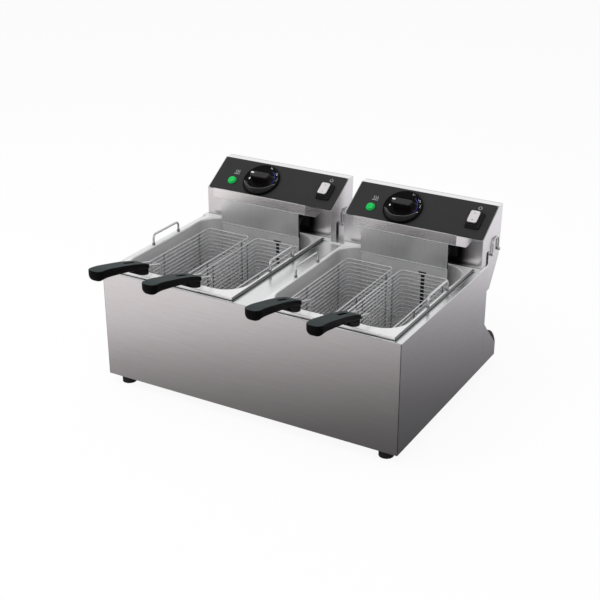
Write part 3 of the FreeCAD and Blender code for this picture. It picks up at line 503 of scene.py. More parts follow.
casingSheets = {
    "body_shell": ("casing", 0.8, "brushed_steel"),
    "deck_panel": ("deck", 0.4, "deck_steel"),
    "head_rest_plate": ("deck", 0.4, "deck_steel"),
    "base_plate": ("zinc", 0.3, "galvanised"),
    "rear_box": ("casing", 0.5, "brushed_steel"),
    "rear_bumper": ("boot", 1.0, "black_plastic"),
    "feet": ("rubber", 1.6, "rubber"),
}
headSheets = {
    "head_shell": ("head", 0.5, "brushed_steel"),
    "head_back": ("casing", 0.4, "brushed_steel"),
    "control_panel": ("panel", 0.3, "panel_black"),
    "hanging_rail": ("rail", 0.4, "brushed_steel"),
    "shield_plate": ("shield", 0.35, "brushed_steel"),
    "cable_gland": ("boot", 0.6, "black_plastic"),
    "thermostat": ("zinc", 0.5, "galvanised"),
    "terminal_block": ("ceramic", 0.8, "insulator"),
    "safety_cutout": ("boot", 0.6, "black_plastic"),
    "interlock_switch": ("boot", 0.6, "black_plastic"),
}
for node, (finishName, edge, slotName) in casingSheets.items():
    dress(node, finishName, "casing", edge)
for side in sides:
    for node, (finishName, edge, slotName) in headSheets.items():
        dress(f"{node}_{side}", finishName, f"head_{side}", edge)


# painted highlights: thin bright rods along the rails' rolled lower edges and along the shields' bends

def brightLine(name, side, xs, y, z, radius):
    line = tube(f"{name}_{side}", [(x, y, z) for x in xs], radius, 8)
    seat(line, "deck", f"head_{side}", ())


railHighlight = Settings(fromTop=17.5, half=96.0, radius=0.65, into=0.2)
foldHighlight = Settings(above=0.6, radius=0.6, into=0.35)
for side in sides:
    low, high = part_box(f"hanging_rail_{side}")
    midX, hem = middleOf(low, high), scaled(railHighlight)
    xs = [midX + hand * hem.half for hand in (-1, 1)]
    brightLine("rail_edge_highlight", side, xs, low.y + hem.into, high.z - hem.fromTop, hem.radius)
    low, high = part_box(f"shield_plate_{side}")
    fold = scaled(foldHighlight)
    brightLine("shield_fold_highlight", side, (low.x, high.x), low.y + fold.into, shieldBend + fold.above, fold.radius)
print("sheets and housings dressed")


# tanks: drawn wells with a rolled flange

tankShape = Settings(sheet=1.0, frontLedge=20.0, sideLedge=6.0, rearLedge=5.0, corner=42.0, flangeCorner=3.5,
                     lipRadius=3.0, edgeRadius=1.6, floorRadius=14.0, floorInset=40.0, skirt=4.5,
                     leastCorner=0.5)
loopShape = Settings(wire=2.0, bend=7.0, footTall=4.0, footOver=0.8)


def tankMesh(low, high):
    shape = scaled(tankShape)
    midX = middleOf(low, high)
    outer = (high.x - midX, low.y, high.y)
    well = (outer[0] - shape.sideLedge, low.y + shape.frontLedge, high.y - shape.rearLedge)
    floorZ = low.z + shape.sheet
    edge, lip, foot = shape.edgeRadius, shape.lipRadius, shape.floorRadius
    rings = []

    def ring(bounds, radius, inset, z):
        halfX, y0, y1 = bounds
        outline = roundRect(halfX - inset, (y1 - y0) / 2 - inset, max(radius - inset, shape.leastCorner))
        rings.append([Vector((midX + x, (y0 + y1) / 2 + y, z)) for x, y in outline])

    def bend(bounds, radius, steps, place):  # the sheet turns through a right angle
        for step in range(steps + 1):
            angle = step / steps * math.pi / 2
            ring(bounds, radius, *place(1 - math.cos(angle), 1 - math.sin(angle)))

    ring(outer, shape.flangeCorner, 0.0, high.z - shape.skirt)
    bend(outer, shape.flangeCorner, 4, lambda grows, falls: (edge * grows, high.z - edge * falls))
    bend(well, shape.corner, 4, lambda grows, falls: (-lip * falls, high.z - lip * grows))
    bend(well, shape.corner, 6, lambda grows, falls: (foot * grows, floorZ + foot * falls))
    ring(well, shape.corner, shape.floorInset, floorZ)
    return meshFrom("tank", *ringLoft(rings, False))


for side in sides:
    low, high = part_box(f"tank_{side}")
    tank = smooth(newObject(f"tank_drawn_{side}", tankMesh(low, high)))
    adjusted(tank.modifiers.new("wall", "SOLIDIFY"), thickness=tankShape.sheet * mm, offset=-1.0)
    seat(softenNormals(tank, False), "tank", f"tank_{side}", (f"tank_{side}",))

    tankTop = high.z
    low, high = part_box(f"tank_handles_{side}")
    size = scaled(loopShape)
    wire = size.wire
    front, rear, top = low.y + wire, high.y - wire, high.z - wire
    loops, feet = [], []
    for x in (low.x + wire, high.x - wire):
        corners = [(x, front, low.z), (x, front, top), (x, rear, top), (x, rear, low.z)]
        loops.append(tube("loop", roundedPath(corners, (size.bend,) * 2), wire))
        for y in (front, rear):
            ends = [(x, y, tankTop), (x, y, tankTop + size.footTall)]
            feet.append(tube("foot", ends, wire + size.footOver))
    seat(join(f"tank_loops_{side}", loops), "wire", f"tank_{side}", (f"tank_handles_{side}",))
    seat(join(f"tank_loop_feet_{side}", feet), "upright", f"tank_{side}", ())
print("tanks made")


# trees that grow repeated things

def openTree(name, kinds):  # gives the graph, its inputs and their identifiers
    tree = bpy.data.node_groups.new(name, "GeometryNodeTree")
    graph = Graph(tree)
    sockets = {}
    for label, kind in kinds.items():
        made = tree.interface.new_socket(name=label, in_out="INPUT", socket_type="NodeSocket" + kind)
        sockets[label] = made.identifier
    tree.interface.new_socket(name="Geometry", in_out="OUTPUT", socket_type="NodeSocketGeometry")
    given = tree.nodes.new("NodeGroupInput")
    return graph, {label: Value(graph, given.outputs[label]) for label in kinds}, sockets


def closeTree(graph, geometry, material, smoothed=False):
    real = graph.geometry("RealizeInstances", {"Geometry": geometry})
    ended = graph.geometry("SetMaterial", {"Geometry": real, "Material": material})
    if smoothed:
        ended = graph.geometry("SetShadeSmooth", {0: ended})
    leave = graph.tree.nodes.new("NodeGroupOutput")
    graph.tree.links.new(ended.socket, leave.inputs[0])
    return graph.tree


def grown(holder, tree, sockets, sizes, finishName):
    grow = holder.modifiers.new("grow", "NODES")
    grow.node_group = tree
    for name, value in sizes.items():
        grow[sockets[name]] = value
    grow[sockets["Finish"]] = finishes[finishName]
    return applied(holder)


# baskets: rims, hoops and floor wires by one tree, uprights and brackets as bent tubes

basketShape = {"Rim Wire": 1.25, "Wire": 0.95, "Row Pitch": 7.06, "Corner": 7.5, "Floor Pitch": 7.0}
basketSeat = Settings(rim=2.0, floorWires=2.6, floorBend=3.0)  # rim over the top row, floor in wire radii
uprightShape = Settings(wire=1.3, outside=1.9, under=1.9, bend=4.0)
uprightsFromRear = (30.0, 141.0, 215.0)
bracket = Settings(half=9.5, wire=1.7, knee=22.5, bend=4.0, into=7.0, toe=11.0, rise=2.5)
bracketRows = 3  # how many rows down the bracket starts


def basketTree():
    names = ("Half Width", "Front", "Back", "Rim Height", "Floor Height", *basketShape)
    graph, want, sockets = openTree("basketWires", {**dict.fromkeys(names, "Float"), "Finish": "Material"})
    rowPitch, floorPitch, corner = want["Row Pitch"], want["Floor Pitch"], want["Corner"]
    rimHeight, floorHeight = want["Rim Height"], want["Floor Height"]

    def bar(curve, radius, sides=8):
        circle = graph.geometry("CurvePrimitiveCircle", {"Resolution": sides, "Radius": radius})
        return graph.geometry("CurveToMesh", {"Curve": curve, "Profile Curve": circle, "Fill Caps": True})

    def filleted(curve, radius, count):
        values = {"Curve": curve, "Radius": radius, "Count": count}
        return graph.geometry("FilletCurve", values, {"mode": "POLY"})

    def spread(instance, count, start, offset):
        line = graph.geometry("MeshLine", {"Count": count, "Start Location": start, "Offset": offset})
        return graph.geometry("InstanceOnPoints", {"Points": line, "Instance": instance})

    def fitting(length, pitch):  # how many wires the length takes
        return graph.maths("FLOOR", length / pitch + 0.5)

    def bentWire(reach, low, high):  # four points: down, along, up again
        row = graph.geometry("MeshLine", {"Count": 4, "Offset": (0.0, 0.0, 0.001)})
        index = graph.geometry("InputIndex", {})
        end = graph.maths("ABSOLUTE", index - 1.5) > 1.0
        place = graph.vector(0.0, ((index > 1.5) * 2 - 1) * reach, low + end * (high - low))
        shaped = graph.geometry("SetPosition", {"Geometry": row, "Position": place})
        return graph.geometry("MeshToCurve", {"Mesh": shaped})

    width = want["Half Width"] * 2
    depth = want["Back"] - want["Front"]
    middle = (want["Back"] + want["Front"]) * 0.5
    outline = graph.geometry("CurvePrimitiveQuadrilateral", {"Width": width, "Height": depth})
    hoop = filleted(outline, corner, 5)
    rim = spread(bar(hoop, want["Rim Wire"], 10), 1, graph.vector(0.0, middle, rimHeight), (0.0, 0.0, 0.0))
    hoops = spread(bar(hoop, want["Wire"]), fitting(rimHeight - floorHeight, rowPitch),
                   graph.vector(0.0, middle, rimHeight - rowPitch), graph.vector(0.0, 0.0, 0 - rowPitch))
    bent = bentWire(depth * 0.5, floorHeight, floorHeight + rowPitch)
    wire = bar(filleted(bent, basketSeat.floorBend * mm, 4), want["Wire"])
    across = fitting(width - corner, floorPitch)
    runs = spread(wire, across, graph.vector((across - 1) * floorPitch * -0.5, middle, 0.0),
                  graph.vector(floorPitch, 0.0, 0.0))
    return closeTree(graph, graph.joined(rim, hoops, runs), want["Finish"], True), sockets


wires, wireSockets = basketTree()
basketNumbers = (1, 2, 3, 4)
for number in basketNumbers:
    body = f"basket_{number}"
    low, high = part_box(f"basket_mesh_{number}")
    rimLow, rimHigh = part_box(f"basket_frame_{number}")
    gripLow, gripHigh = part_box(f"basket_grip_{number}")
    midX = middleOf(low, high)
    shape, post, arm = scaled(basketShape), scaled(uprightShape), scaled(bracket)
    rimRadius = basketSeat.rim * mm
    rimZ = high.z + rimRadius
    sizes = {"Half Width": (rimHigh.x - rimLow.x) / 2 - rimRadius, "Front": low.y, "Back": high.y,
             "Rim Height": rimZ, "Floor Height": low.z + shape["Wire"] * basketSeat.floorWires}
    holder = newObject(f"basket_wires_{number}", bpy.data.meshes.new("empty"))
    grown(holder, wires, wireSockets, {**shape, **sizes}, "wire")
    moved(holder, Matrix.Translation((midX, 0.0, 0.0)))
    seat(holder, "wire", body, (f"basket_mesh_{number}",))

    left, right = (midX + hand * (sizes["Half Width"] + post.outside) for hand in (-1, 1))
    underZ = sizes["Floor Height"] - post.under
    uprights = []
    for away in uprightsFromRear:
        y = high.y - away * mm
        corners = [(left, y, rimZ), (left, y, underZ), (right, y, underZ), (right, y, rimZ)]
        uprights.append(tube("upright", roundedPath(corners, (post.bend,) * 2), post.wire, 8))
    seat(join(f"basket_uprights_{number}", uprights), "upright", body, ())

    arms = []
    for hand in (-1, 1):
        x = midX + hand * arm.half
        knee = Vector((x, low.y, rimZ + arm.knee))
        end = Vector((x, gripHigh.y, gripLow.z + arm.toe + arm.rise))
        foot = (x, low.y, rimZ - bracketRows * shape["Row Pitch"])
        corners = [foot, knee, end + (end - knee).normalized() * arm.into]
        arms.append(tube("arm", roundedPath(corners, (arm.bend,)), arm.wire))
    seat(join(f"basket_bracket_{number}", arms), "wire", body, (f"basket_frame_{number}",))
print("basket wires made")


# basket grips, with heights over the bracket's wires and lengths from the grip's inner end

gripShape = Settings(halfWidth=13.5, topEdge=1.3, underEdge=9.5, tipCorner=12.0, noseTop=1.5, noseUnder=12.0,
                     stations=48, blockHalf=11.5, blockEdge=3.0, slotWidth=6.5, slotStart=-47.0,
                     slotEnd=-19.0, slotDepth=7.0)
gripTop = ((-127, 38.0), (-110, 36.5), (-98, 34.5), (-81, 30.5), (-45, 21.5), (-15, 12.5), (3, 5.5))
gripUnder = ((-127, 17.5), (-119, 18.2), (-110, 18.8), (-100, 18.2), (-82, 15.3), (-64, 12.0), (-42, 7.0),
             (-20, 1.0), (3, -4.0))
blockTop = ((-39, 12.0), (3, 2.0))
blockUnder = ((-39, 7.5), (-34, 3.5), (-29, -1.0), (-18, -7.5), (-8, -11.8), (-2, -13.5), (3, -14.5))


def through(points, place):  # smooth curve through a short table of places and heights
    last = len(points) - 2
    index = next((index for index in range(last) if place <= points[index + 1][0]), last)
    (x0, y0), (x1, y1) = points[index:index + 2]
    before, after = points[max(index - 1, 0)], points[min(index + 2, last + 1)]
    run = x1 - x0
    slope0 = (y1 - before[1]) / (x1 - before[0]) * run
    slope1 = (after[1] - y0) / (after[0] - x0) * run
    t = min(max((place - x0) / run, 0.0), 1.0)
    return ((2 * t ** 3 - 3 * t ** 2 + 1) * y0 + (t ** 3 - 2 * t ** 2 + t) * slope0
            + (3 * t ** 2 - 2 * t ** 3) * y1 + (t ** 3 - t ** 2) * slope1)


def gripSection(half, top, under, topEdge, underEdge):
    tall = (top - under) / 2
    edges = [max(min(edge, half * 0.95, tall * 0.95), 0.1)
             for edge in (topEdge, topEdge, underEdge, underEdge)]
    return [(x, (top + under) / 2 + z) for x, z in cornerArcs(half, tall, edges, 6)]


def rounding(radius, into):  # how far a rounded corner stands back at this depth
    return radius - math.sqrt(max(radius ** 2 - (radius - into) ** 2, 0.0)) if into < radius else 0.0


def gripLoft(name, over, below, half, edges, place):
    start, end = over[0][0], over[-1][0]
    rings = []
    for station in range(gripShape.stations + 1):
        share = station / gripShape.stations
        y = start + (end - start) * (share ** 2 * 0.7 + share * 0.3)
        into = y - start
        wide = max(half - rounding(gripShape.tipCorner, into), 1.0)
        top = through(over, y) - rounding(gripShape.noseTop, into)
        under = min(through(below, y) + rounding(gripShape.noseUnder, into) * 0.95, top - 1.0)
        rings.append([Vector(place(x, y, z)) for x, z in gripSection(wide, top, under, *edges)])
    return lofted(name, rings)


def combine(thing, other, kind):
    adjusted(thing.modifiers.new("combine", "BOOLEAN"), operation=kind, object=other, solver="EXACT")
    applied(thing)
    bpy.data.objects.remove(other)


for number in basketNumbers:
    low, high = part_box(f"basket_grip_{number}")
    midX = middleOf(low, high)
    wireZ = low.z + bracket.toe * mm

    def fromWires(x, y, z):
        return midX + x * mm, high.y + y * mm, wireZ + z * mm

    shape = gripShape
    grip = gripLoft(f"basket_handle_{number}", gripTop, gripUnder, shape.halfWidth,
                    (shape.topEdge, shape.underEdge), fromWires)
    block = gripLoft("block", blockTop, blockUnder, shape.blockHalf, (shape.blockEdge,) * 2, fromWires)
    slotY = (shape.slotStart + shape.slotEnd) / 2
    outline = roundRect(shape.slotWidth / 2, (shape.slotEnd - shape.slotStart) / 2,
                        shape.slotWidth / 2 - 0.1, 4)
    cutter = slab("slotCutter", outline, (-shape.slotDepth, shape.slotDepth),
                  lambda x, y, lift: fromWires(x, slotY + y, through(gripTop, slotY + y) + lift))
    combine(grip, block, "UNION")
    combine(grip, cutter, "DIFFERENCE")
    softenEdges(smooth(grip), 0.3 * mm, 1, 50.0)
    seat(grip, "grip", f"basket_{number}", (f"basket_grip_{number}",))
print("grips made")


# hairpin elements and the two sensor bulbs between them

elementShape = Settings(radius=4.0, spacing=50.0, bend=12.0, tail=35.0, plateHalf=12.0, plate=2.5,
                        plateFront=16.5, plateCorner=3.0)
bulbShape = Settings(radius=3.0, capillary=1.0, bend=6.0, below=36.0, into=1.0)
bulbEnd = ((0.0, 0.35), (0.6, 0.75), (2.0, 1.0))  # from the end, share of the radius
hairpinSteps = 16


def hairpin(first, last, low, high):
    size = scaled(elementShape)
    floorZ = low.z + size.radius
    entryZ = high.z - size.plateHalf
    rear = high.y - size.tail
    turn = (last - first) / 2
    turnY = low.y + size.radius + turn
    legs = []
    for x in (first, last):
        corners = [(x, high.y, entryZ), (x, rear, entryZ), (x, rear, floorZ), (x, turnY, floorZ)]
        legs.append(roundedPath(corners, (size.bend,) * 2))
    middle, midX = [], (first + last) / 2
    for step in range(1, hairpinSteps):
        angle = math.pi * step / hairpinSteps
        middle.append(Vector((midX - turn * math.cos(angle), turnY - turn * math.sin(angle), floorZ)))
    return tube("hairpin", legs[0] + middle + legs[1][::-1], size.radius, 16)


for side in sides:
    low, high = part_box(f"heating_element_{side}")
    midX = middleOf(low, high)
    size = scaled(elementShape)
    gap = size.spacing
    entryZ = high.z - size.plateHalf
    tubes = [hairpin(midX + first * gap, midX + (first + 1) * gap, low, high) for first in (-1.5, 0.5)]
    back = high.y - (size.plateFront - size.plate)
    outline = roundRect((high.x - low.x) / 2, size.plateHalf, size.plateCorner, 4)
    tubes.append(slab("plate", outline, (back - size.plate, back), lambda x, z, y: (midX + x, y, entryZ + z)))
    whole = join(f"element_tubes_{side}", tubes)
    seat(whole, "element", f"head_{side}", (f"heating_element_{side}",))

    low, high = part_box(f"sensor_bulbs_{side}")
    size = scaled(bulbShape)
    radius = size.radius
    bulbY = low.y + radius
    top = entryZ - size.below
    profile = [(radius * share, low.z + away * mm) for away, share in bulbEnd]
    profile += [(radius * share, top - away * mm) for away, share in reversed(bulbEnd)]
    bulbs = []
    for x in (low.x + radius, high.x - radius):
        bulbs.append(moved(lathe("bulb", profile, 16), Matrix.Translation((x, bulbY, 0.0))))
        corners = [(x, bulbY, top - size.into), (x, bulbY, entryZ), (x, high.y, entryZ)]
        bulbs.append(tube("capillary", roundedPath(corners, (size.bend,)), size.capillary, 8))
    whole = join(f"sensor_bulb_pair_{side}", bulbs)
    seat(whole, "bulb", f"head_{side}", (f"sensor_bulbs_{side}",))
print("elements and bulbs made")


# dark sheets behind the shields' slots, painted shade for the dark space seen through them, and wire carrying
# handles on the heads' sides

slotShadeSheet = Settings(across=36.2, halfWidth=9.0, top=77.5, height=73.0, thick=0.6, corner=1.5)
bailShape = Settings(wire=1.5, bend=8.0, pinReach=5.9)
for side in sides:
    low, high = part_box(f"shield_plate_{side}")
    size = scaled(slotShadeSheet)
    midX = middleOf(low, high) + size.across
    midZ = high.z - size.top - size.height / 2
    outline = roundRect(size.halfWidth, size.height / 2, size.corner, 4)
    strip = slab(f"slot_shade_sheet_{side}", outline, (high.y, high.y + size.thick),
                 lambda x, z, y: (midX + x, y, midZ + z))
    seat(strip, "boot", f"head_{side}", ())

for side in sides:
    for hand in ("a", "b"):
        node = f"side_handle_{hand}_{side}"
        low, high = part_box(node)
        pivot = Vector(jointOf(f"side_handle_{hand}_swing_{side}")["pos_m"])
        size = scaled(bailShape)
        wire, bend = size.wire, size.bend
        front, rear, top = low.y + size.pinReach, high.y - size.pinReach, high.z - wire
        ends = ((low.y, pivot.z), (front, pivot.z), (front, top))
        path = (*ends, (rear, top), (rear, pivot.z), (high.y, pivot.z))
        corners = [(pivot.x, y, z) for y, z in path]
        loop = tube(f"carry_{hand}_{side}", roundedPath(corners, (wire, bend, bend, wire)), wire)
        seat(loop, "wire", node, (node,))
print("carrying handles made")


# what stands on the sloping panels: u across, v up the slope, h out of it

def panelPlace(origin, normal):
    across = Vector((1.0, 0.0, 0.0))
    up = normal.cross(across)
    turn = Matrix((across, up, normal)).transposed().to_4x4()
    return Matrix.Translation(origin) @ turn @ Matrix.Scale(mm, 4)


def stack(name, halfU, halfV, layers):  # each layer: inset, corner, height, and any more inset along v
    rings = []
    for inset, corner, height, *more in layers:
        outline = roundRect(halfU - inset, halfV - inset - sum(more), corner, 6)
        rings.append([Vector((x, y, height)) for x, y in outline])
    return smooth(lofted(name, rings))


wordingShape = Settings(extrude=0.04, offset=0.14)  # the offset makes the strokes bold


def wording(text, size, place, turn, height):
    letters = adjusted(bpy.data.curves.new("wording", "FONT"), body=text, size=size, align_x="CENTER",
                       align_y="CENTER", resolution_u=3, **wordingShape)
    made = meshOfCurve("wording", letters)
    return moved(made, Matrix.Translation((*place, height)) @ Matrix.Rotation(turn, 4, "Z"))


def radial(angle, *spots):  # radius and height pairs that stand in one direction
    return [Vector((math.cos(angle) * radius, math.sin(angle) * radius, height)) for radius, height in spots]


def arcBand(name, radius, width, start, end, height, thick=0.08, steps=40):
    inner, outer, upper = radius - width / 2, radius + width / 2, height + thick
    section = (inner, height), (outer, height), (outer, upper), (inner, upper)
    angles = [math.radians(start + (end - start) * step / steps) for step in range(steps + 1)]
    return lofted(name, [radial(angle, *section) for angle in angles])


knobShape = Settings(radius=36.0, lift=1.6, face=5.2, rim=0.8, rimWidth=2.6)
barShape = Settings(top=19.6, topHalf=6.6, footHalf=11.5, topStart=-18.5, footStart=-14.0, end=25.0, lean=5.0,
                    corner=6.0, sunk=0.6)
barSwell = ((0.0, 1.2), (0.1, 0.5), (0.3, 0.0), (0.6, 0.0), (0.88, 0.0), (0.95, -0.5), (0.985, -1.1),
            (1.0, -2.0))  # share of the height, and how far the sides stand out there
cupShape = Settings(radius=30.0, footRadius=34.0, height=16.0, wall=1.6, floor=6.0, start=203.0, end=344.0,
                    foot=2.0, steps=40)
dialMarks = Settings(numberRadius=31.0, numberSize=6.4, arcRadius=26.6, arcWidth=1.4, arcStart=56.0,
                     arcEnd=-26.0, sunk=0.04)
dialNumbers = {"60": 72, "100": 38, "140": 12, "180": -14}
dialBlocks = ((-14.6, 2.6, 3.2, 1.4, barShape.top - 0.02),  # place, half sizes and height
              (-24.0, -1.6, 1.1, 2.2, knobShape.face - dialMarks.sunk))


def gripBar(name):  # block that narrows upwards, with round ends
    shape = barShape
    base = knobShape.face - shape.sunk
    rings = []
    for share, swell in barSwell:
        half = shape.footHalf + (shape.topHalf - shape.footHalf) * share ** 0.8 + swell
        start = shape.footStart + (shape.topStart - shape.footStart) * share - swell
        end = shape.end - shape.lean * share + swell
        outline = roundRect((end - start) / 2, half, min(half * 0.8, shape.corner), 6)
        height = base + (shape.top - base) * share
        rings.append([Vector(((start + end) / 2 + x, y, height)) for x, y in outline])
    return smooth(lofted(name, rings))


def fingerCup(name):  # sloping wall round the finger hollow below the bar
    shape = cupShape
    foot, wall = shape.foot, shape.wall
    rings = []
    for step in range(shape.steps + 1):
        share = step / shape.steps
        angle = math.radians(shape.start + (shape.end - shape.start) * share)
        swell = min(1.0, (share + 0.05) / 0.16, (1.06 - share) / 0.5) ** 0.7
        tall = shape.floor + (shape.height - shape.floor) * swell
        lean = (shape.footRadius - shape.radius) * (1 - (tall - foot) / (shape.height - foot))
        rim = shape.radius + lean
        outside = (shape.footRadius, foot), (rim + 0.15, tall - 0.7), (rim - 0.2, tall - 0.15)
        inside = (rim - wall + 0.2, tall - 0.2), (rim - wall, tall - 0.8), (rim - wall - 5.0, foot)
        rings.append(radial(angle, *outside, (rim - 0.7, tall), *inside))
    return smooth(lofted(name, rings))


def makeDial(side, place):
    low, face, rim = knobShape.lift, knobShape.face, knobShape.rim
    radius, body = knobShape.radius, f"knob_{side}"
    inner = radius - knobShape.rimWidth
    profile = [(9.0, low), (radius - 0.8, low), (radius, low + 0.8), (radius, face - 0.6),
               (radius - 0.5, face + rim * 0.6), (radius - 1.1, face + rim), (inner + 0.6, face + rim),
               (inner, face + rim * 0.5), (inner - 0.3, face), (8.0, face)]
    parts = ((lathe(f"dial_{side}", profile, 96), "knob", (body,)),
             (gripBar(f"dial_bar_{side}"), "knobBar", ()),
             (fingerCup(f"dial_cup_{side}"), "knobCup", ()))
    for thing, finishName, replaced in parts:
        seat(moved(softenEdges(thing, 0.25, 2, 40.0), place), finishName, body, replaced)

    figures = face - dialMarks.sunk
    marks = []
    for text, degrees in dialNumbers.items():
        angle = math.radians(degrees)
        spot = radial(angle, (dialMarks.numberRadius, 0.0))[0]
        marks.append(wording(text, dialMarks.numberSize, spot.xy, angle - math.pi / 2, figures))
    for x, y, halfX, halfY, height in dialBlocks:
        block = slab("mark", roundRect(halfX, halfY, 1.0, 3), (0.0, 0.1), lambda *spot: spot)
        marks.append(moved(block, Matrix.Translation((x, y, height))))
    seat(moved(join(f"dial_figures_{side}", marks), place), "print", body, ())
    arc = arcBand(f"dial_arc_{side}", dialMarks.arcRadius, dialMarks.arcWidth, dialMarks.arcStart,
                  dialMarks.arcEnd, figures)
    seat(moved(arc, place), "violet", body, ())


switchShape = Settings(halfU=13.5, halfV=18.0, step=2.0, low=1.0, high=9.0, behind=24.0, capHalfU=8.7,
                       capHalfV=12.6, capLow=10.9, capTop=13.5, dish=0.9, stemHalfV=2.6, stemLow=3.6)
dotShape = Settings(radius=1.0, thick=0.1, tipRadius=0.3, tip=0.12, fromMiddle=7.2, sunk=0.33)


def makeSwitch(side, place):
    shape = switchShape
    u, v, step, low, high = shape.halfU, shape.halfV, shape.step, shape.low, shape.high
    halfU, halfV, capLow, top = shape.capHalfU, shape.capHalfV, shape.capLow, shape.capTop
    half = (low + high) / 2
    boot = stack("boot", u, v, [(0.4, 3.4, low), (0.0, 3.6, low + 0.5), (0.0, 3.6, half - 0.8),
                                (0.7, 3.2, half), (step, 2.6, half + 0.2), (step, 2.6, high - 0.9),
                                (step + 0.8, 2.2, high)])
    collar = stack("collar", halfU, halfV, [(-1.2, 3.0, high - 0.4), (-1.1, 3.0, high + 1.1),
                                            (-0.5, 2.6, high + 1.5)])
    contacts = stack("contacts", u, v, [(step, 1.0, -shape.behind), (step, 1.0, low - 0.1)])
    cap = stack("cap", halfU, halfV, [(0.3, 3.4, capLow), (0.0, 3.6, capLow + 0.6), (0.0, 3.6, top - 0.9),
                                      (0.35, 3.3, top - 0.3), (1.1, 2.7, top), (4.0, 2.0, top - 0.3, 1.0)])
    for vertex in cap.data.vertices:
        if vertex.co.z > top - 1.0:
            vertex.co.z -= shape.dish * (1 - (vertex.co.y / halfV) ** 2)
    stem = stack("stem", halfU / 2, shape.stemHalfV, [(0.0, 0.6, shape.stemLow), (0.0, 0.6, capLow + 0.4)])
    rocker = f"rocker_{side}"
    body = softenNormals(join(f"switch_boot_{side}", [boot, collar, contacts]))
    seat(moved(body, place), "boot", f"head_{side}", (f"switch_body_{side}",))
    body = softenNormals(join(f"rocker_cap_{side}", [cap, stem]))
    seat(moved(body, place), "cap", rocker, (rocker,))

    radius, thick, tipRadius, tip, fromMiddle, sunk = dotShape.values()
    dots = []
    for away in (-fromMiddle, fromMiddle):
        dot = lathe("dot", [(radius, 0.0), (radius, thick), (tipRadius, tip)], 12)
        lift = top - sunk - shape.dish * (1 - (away / halfV) ** 2)
        dots.append(moved(dot, Matrix.Translation((0.0, away, lift))))
    seat(moved(join(f"rocker_dots_{side}", dots), place), "boot", rocker, ())


lampShape = Settings(radius=8.5, collar=3.0, lens=7.2, height=6.0, body=6.0, behind=26.0)


def makeLamp(side, place):
    radius, collar, rim, height, body, behind = lampShape.values()
    profile = [(body, -behind), (body, 0.9), (radius, 1.0), (radius, collar - 0.7), (radius - 0.6, collar),
               (rim + 0.3, collar + 0.2), (rim, height - 1.2), (rim - 1.2, height - 0.2), (4.2, height),
               (3.2, height - 0.7), (0.6, height - 0.8)]
    lens = lathe(f"lamp_lens_{side}", profile, 48)
    seat(moved(lens, place), "lens", f"head_{side}", (f"pilot_lamp_{side}",))


symbolShape = Settings(height=1.0, line=0.45, bowlLine=0.6, bowlHalf=4.2, bowlV=-2.9, waveSwing=0.7,
                       waveStart=-1.4, waveStep=0.42, waveSteps=12, wavePitch=2.6, heatScale=1.35, ring=3.0,
                       ringWidth=0.9, ringStart=125.0, ringEnd=415.0, strokeStart=1.2, strokeEnd=4.6)


def makeSymbols(side, heatPlace, powerPlace):
    shape = symbolShape
    height, steps = shape.height, shape.waveSteps
    heat = []
    for middle in (-shape.wavePitch, 0.0, shape.wavePitch):
        points = [(middle + shape.waveSwing * math.sin(step / steps * 2 * math.pi),
                   shape.waveStart + step * shape.waveStep, height) for step in range(steps + 1)]
        heat.append(tube("wave", points, shape.line, 4))
    bowl = [(end, shape.bowlV, height) for end in (-shape.bowlHalf, shape.bowlHalf)]
    heat.append(tube("bowl", bowl, shape.bowlLine, 4))
    stroke = [(0.0, v, height) for v in (shape.strokeStart, shape.strokeEnd)]
    power = [arcBand("ring", shape.ring, shape.ringWidth, shape.ringStart, shape.ringEnd,
                     height - 0.02, 0.1),
             tube("stroke", stroke, shape.line, 4)]
    for thing in heat:
        moved(thing, heatPlace @ Matrix.Diagonal((shape.heatScale, shape.heatScale, 1.0, 1.0)))
    for thing in power:
        moved(thing, powerPlace)
    seat(join(f"panel_symbols_{side}", heat + power), "printDim", f"head_{side}", ())


panelSpots = {"knob": (-32.0, 36.5), "lamp": (-90.4, 25.0), "switch": (102.0, 38.5), "heat": (-89.5, 46.5),
              "power": (102.0, 66.5)}
for side in sides:
    knobJoint = jointOf(f"knob_turn_{side}")
    normal = -Vector(knobJoint["axis"]).normalized()
    knobPlace = panelPlace(Vector(knobJoint["pos_m"]), normal)
    places = {}
    for name, (u, v) in panelSpots.items():
        shift = (u - panelSpots["knob"][0], v - panelSpots["knob"][1], 0.0)
        places[name] = knobPlace @ Matrix.Translation(shift)
    makeDial(side, places["knob"])
    makeSwitch(side, places["switch"])
    makeLamp(side, places["lamp"])
    makeSymbols(side, places["heat"], places["power"])
print("dials, switches and lamps made")


# pan-head screws, set by one tree on a few points

screwShape = {"Head Radius": 3.2, "Head Height": 1.7}
screwCross = Settings(long=1.3, wide=0.26)  # as shares of the head's radius
screwSpots = Settings(inset=8.0, count=4)


def screwTree():
    kinds = {"Points": "Geometry", **dict.fromkeys(screwShape, "Float"), "Finish": "Material"}
    graph, want, sockets = openTree("panScrews", kinds)
    radius, height = want["Head Radius"], want["Head Height"]
    dome = graph.geometry("MeshUVSphere", {"Segments": 16, "Rings": 8, "Radius": radius})
    head = graph.geometry("Transform", {"Geometry": dome, "Scale": graph.vector(1.0, 1.0, height / radius)})
    slotSize = graph.vector(radius * screwCross.long, radius * screwCross.wide, height)
    slot = graph.geometry("MeshCube", {"Size": slotSize})
    crossing = graph.geometry("Transform", {"Geometry": slot, "Rotation": (0.0, 0.0, math.pi / 2)})
    raised = graph.geometry("Transform", {"Geometry": graph.joined(slot, crossing),
                                          "Translation": graph.vector(0.0, 0.0, height)})
    cut = graph.geometry("MeshBoolean", {"Mesh 1": head, "Mesh 2": raised}, {"operation": "DIFFERENCE"})
    placed = graph.geometry("InstanceOnPoints", {"Points": want["Points"], "Instance": cut})
    return closeTree(graph, placed, want["Finish"]), sockets


screws, screwSockets = screwTree()


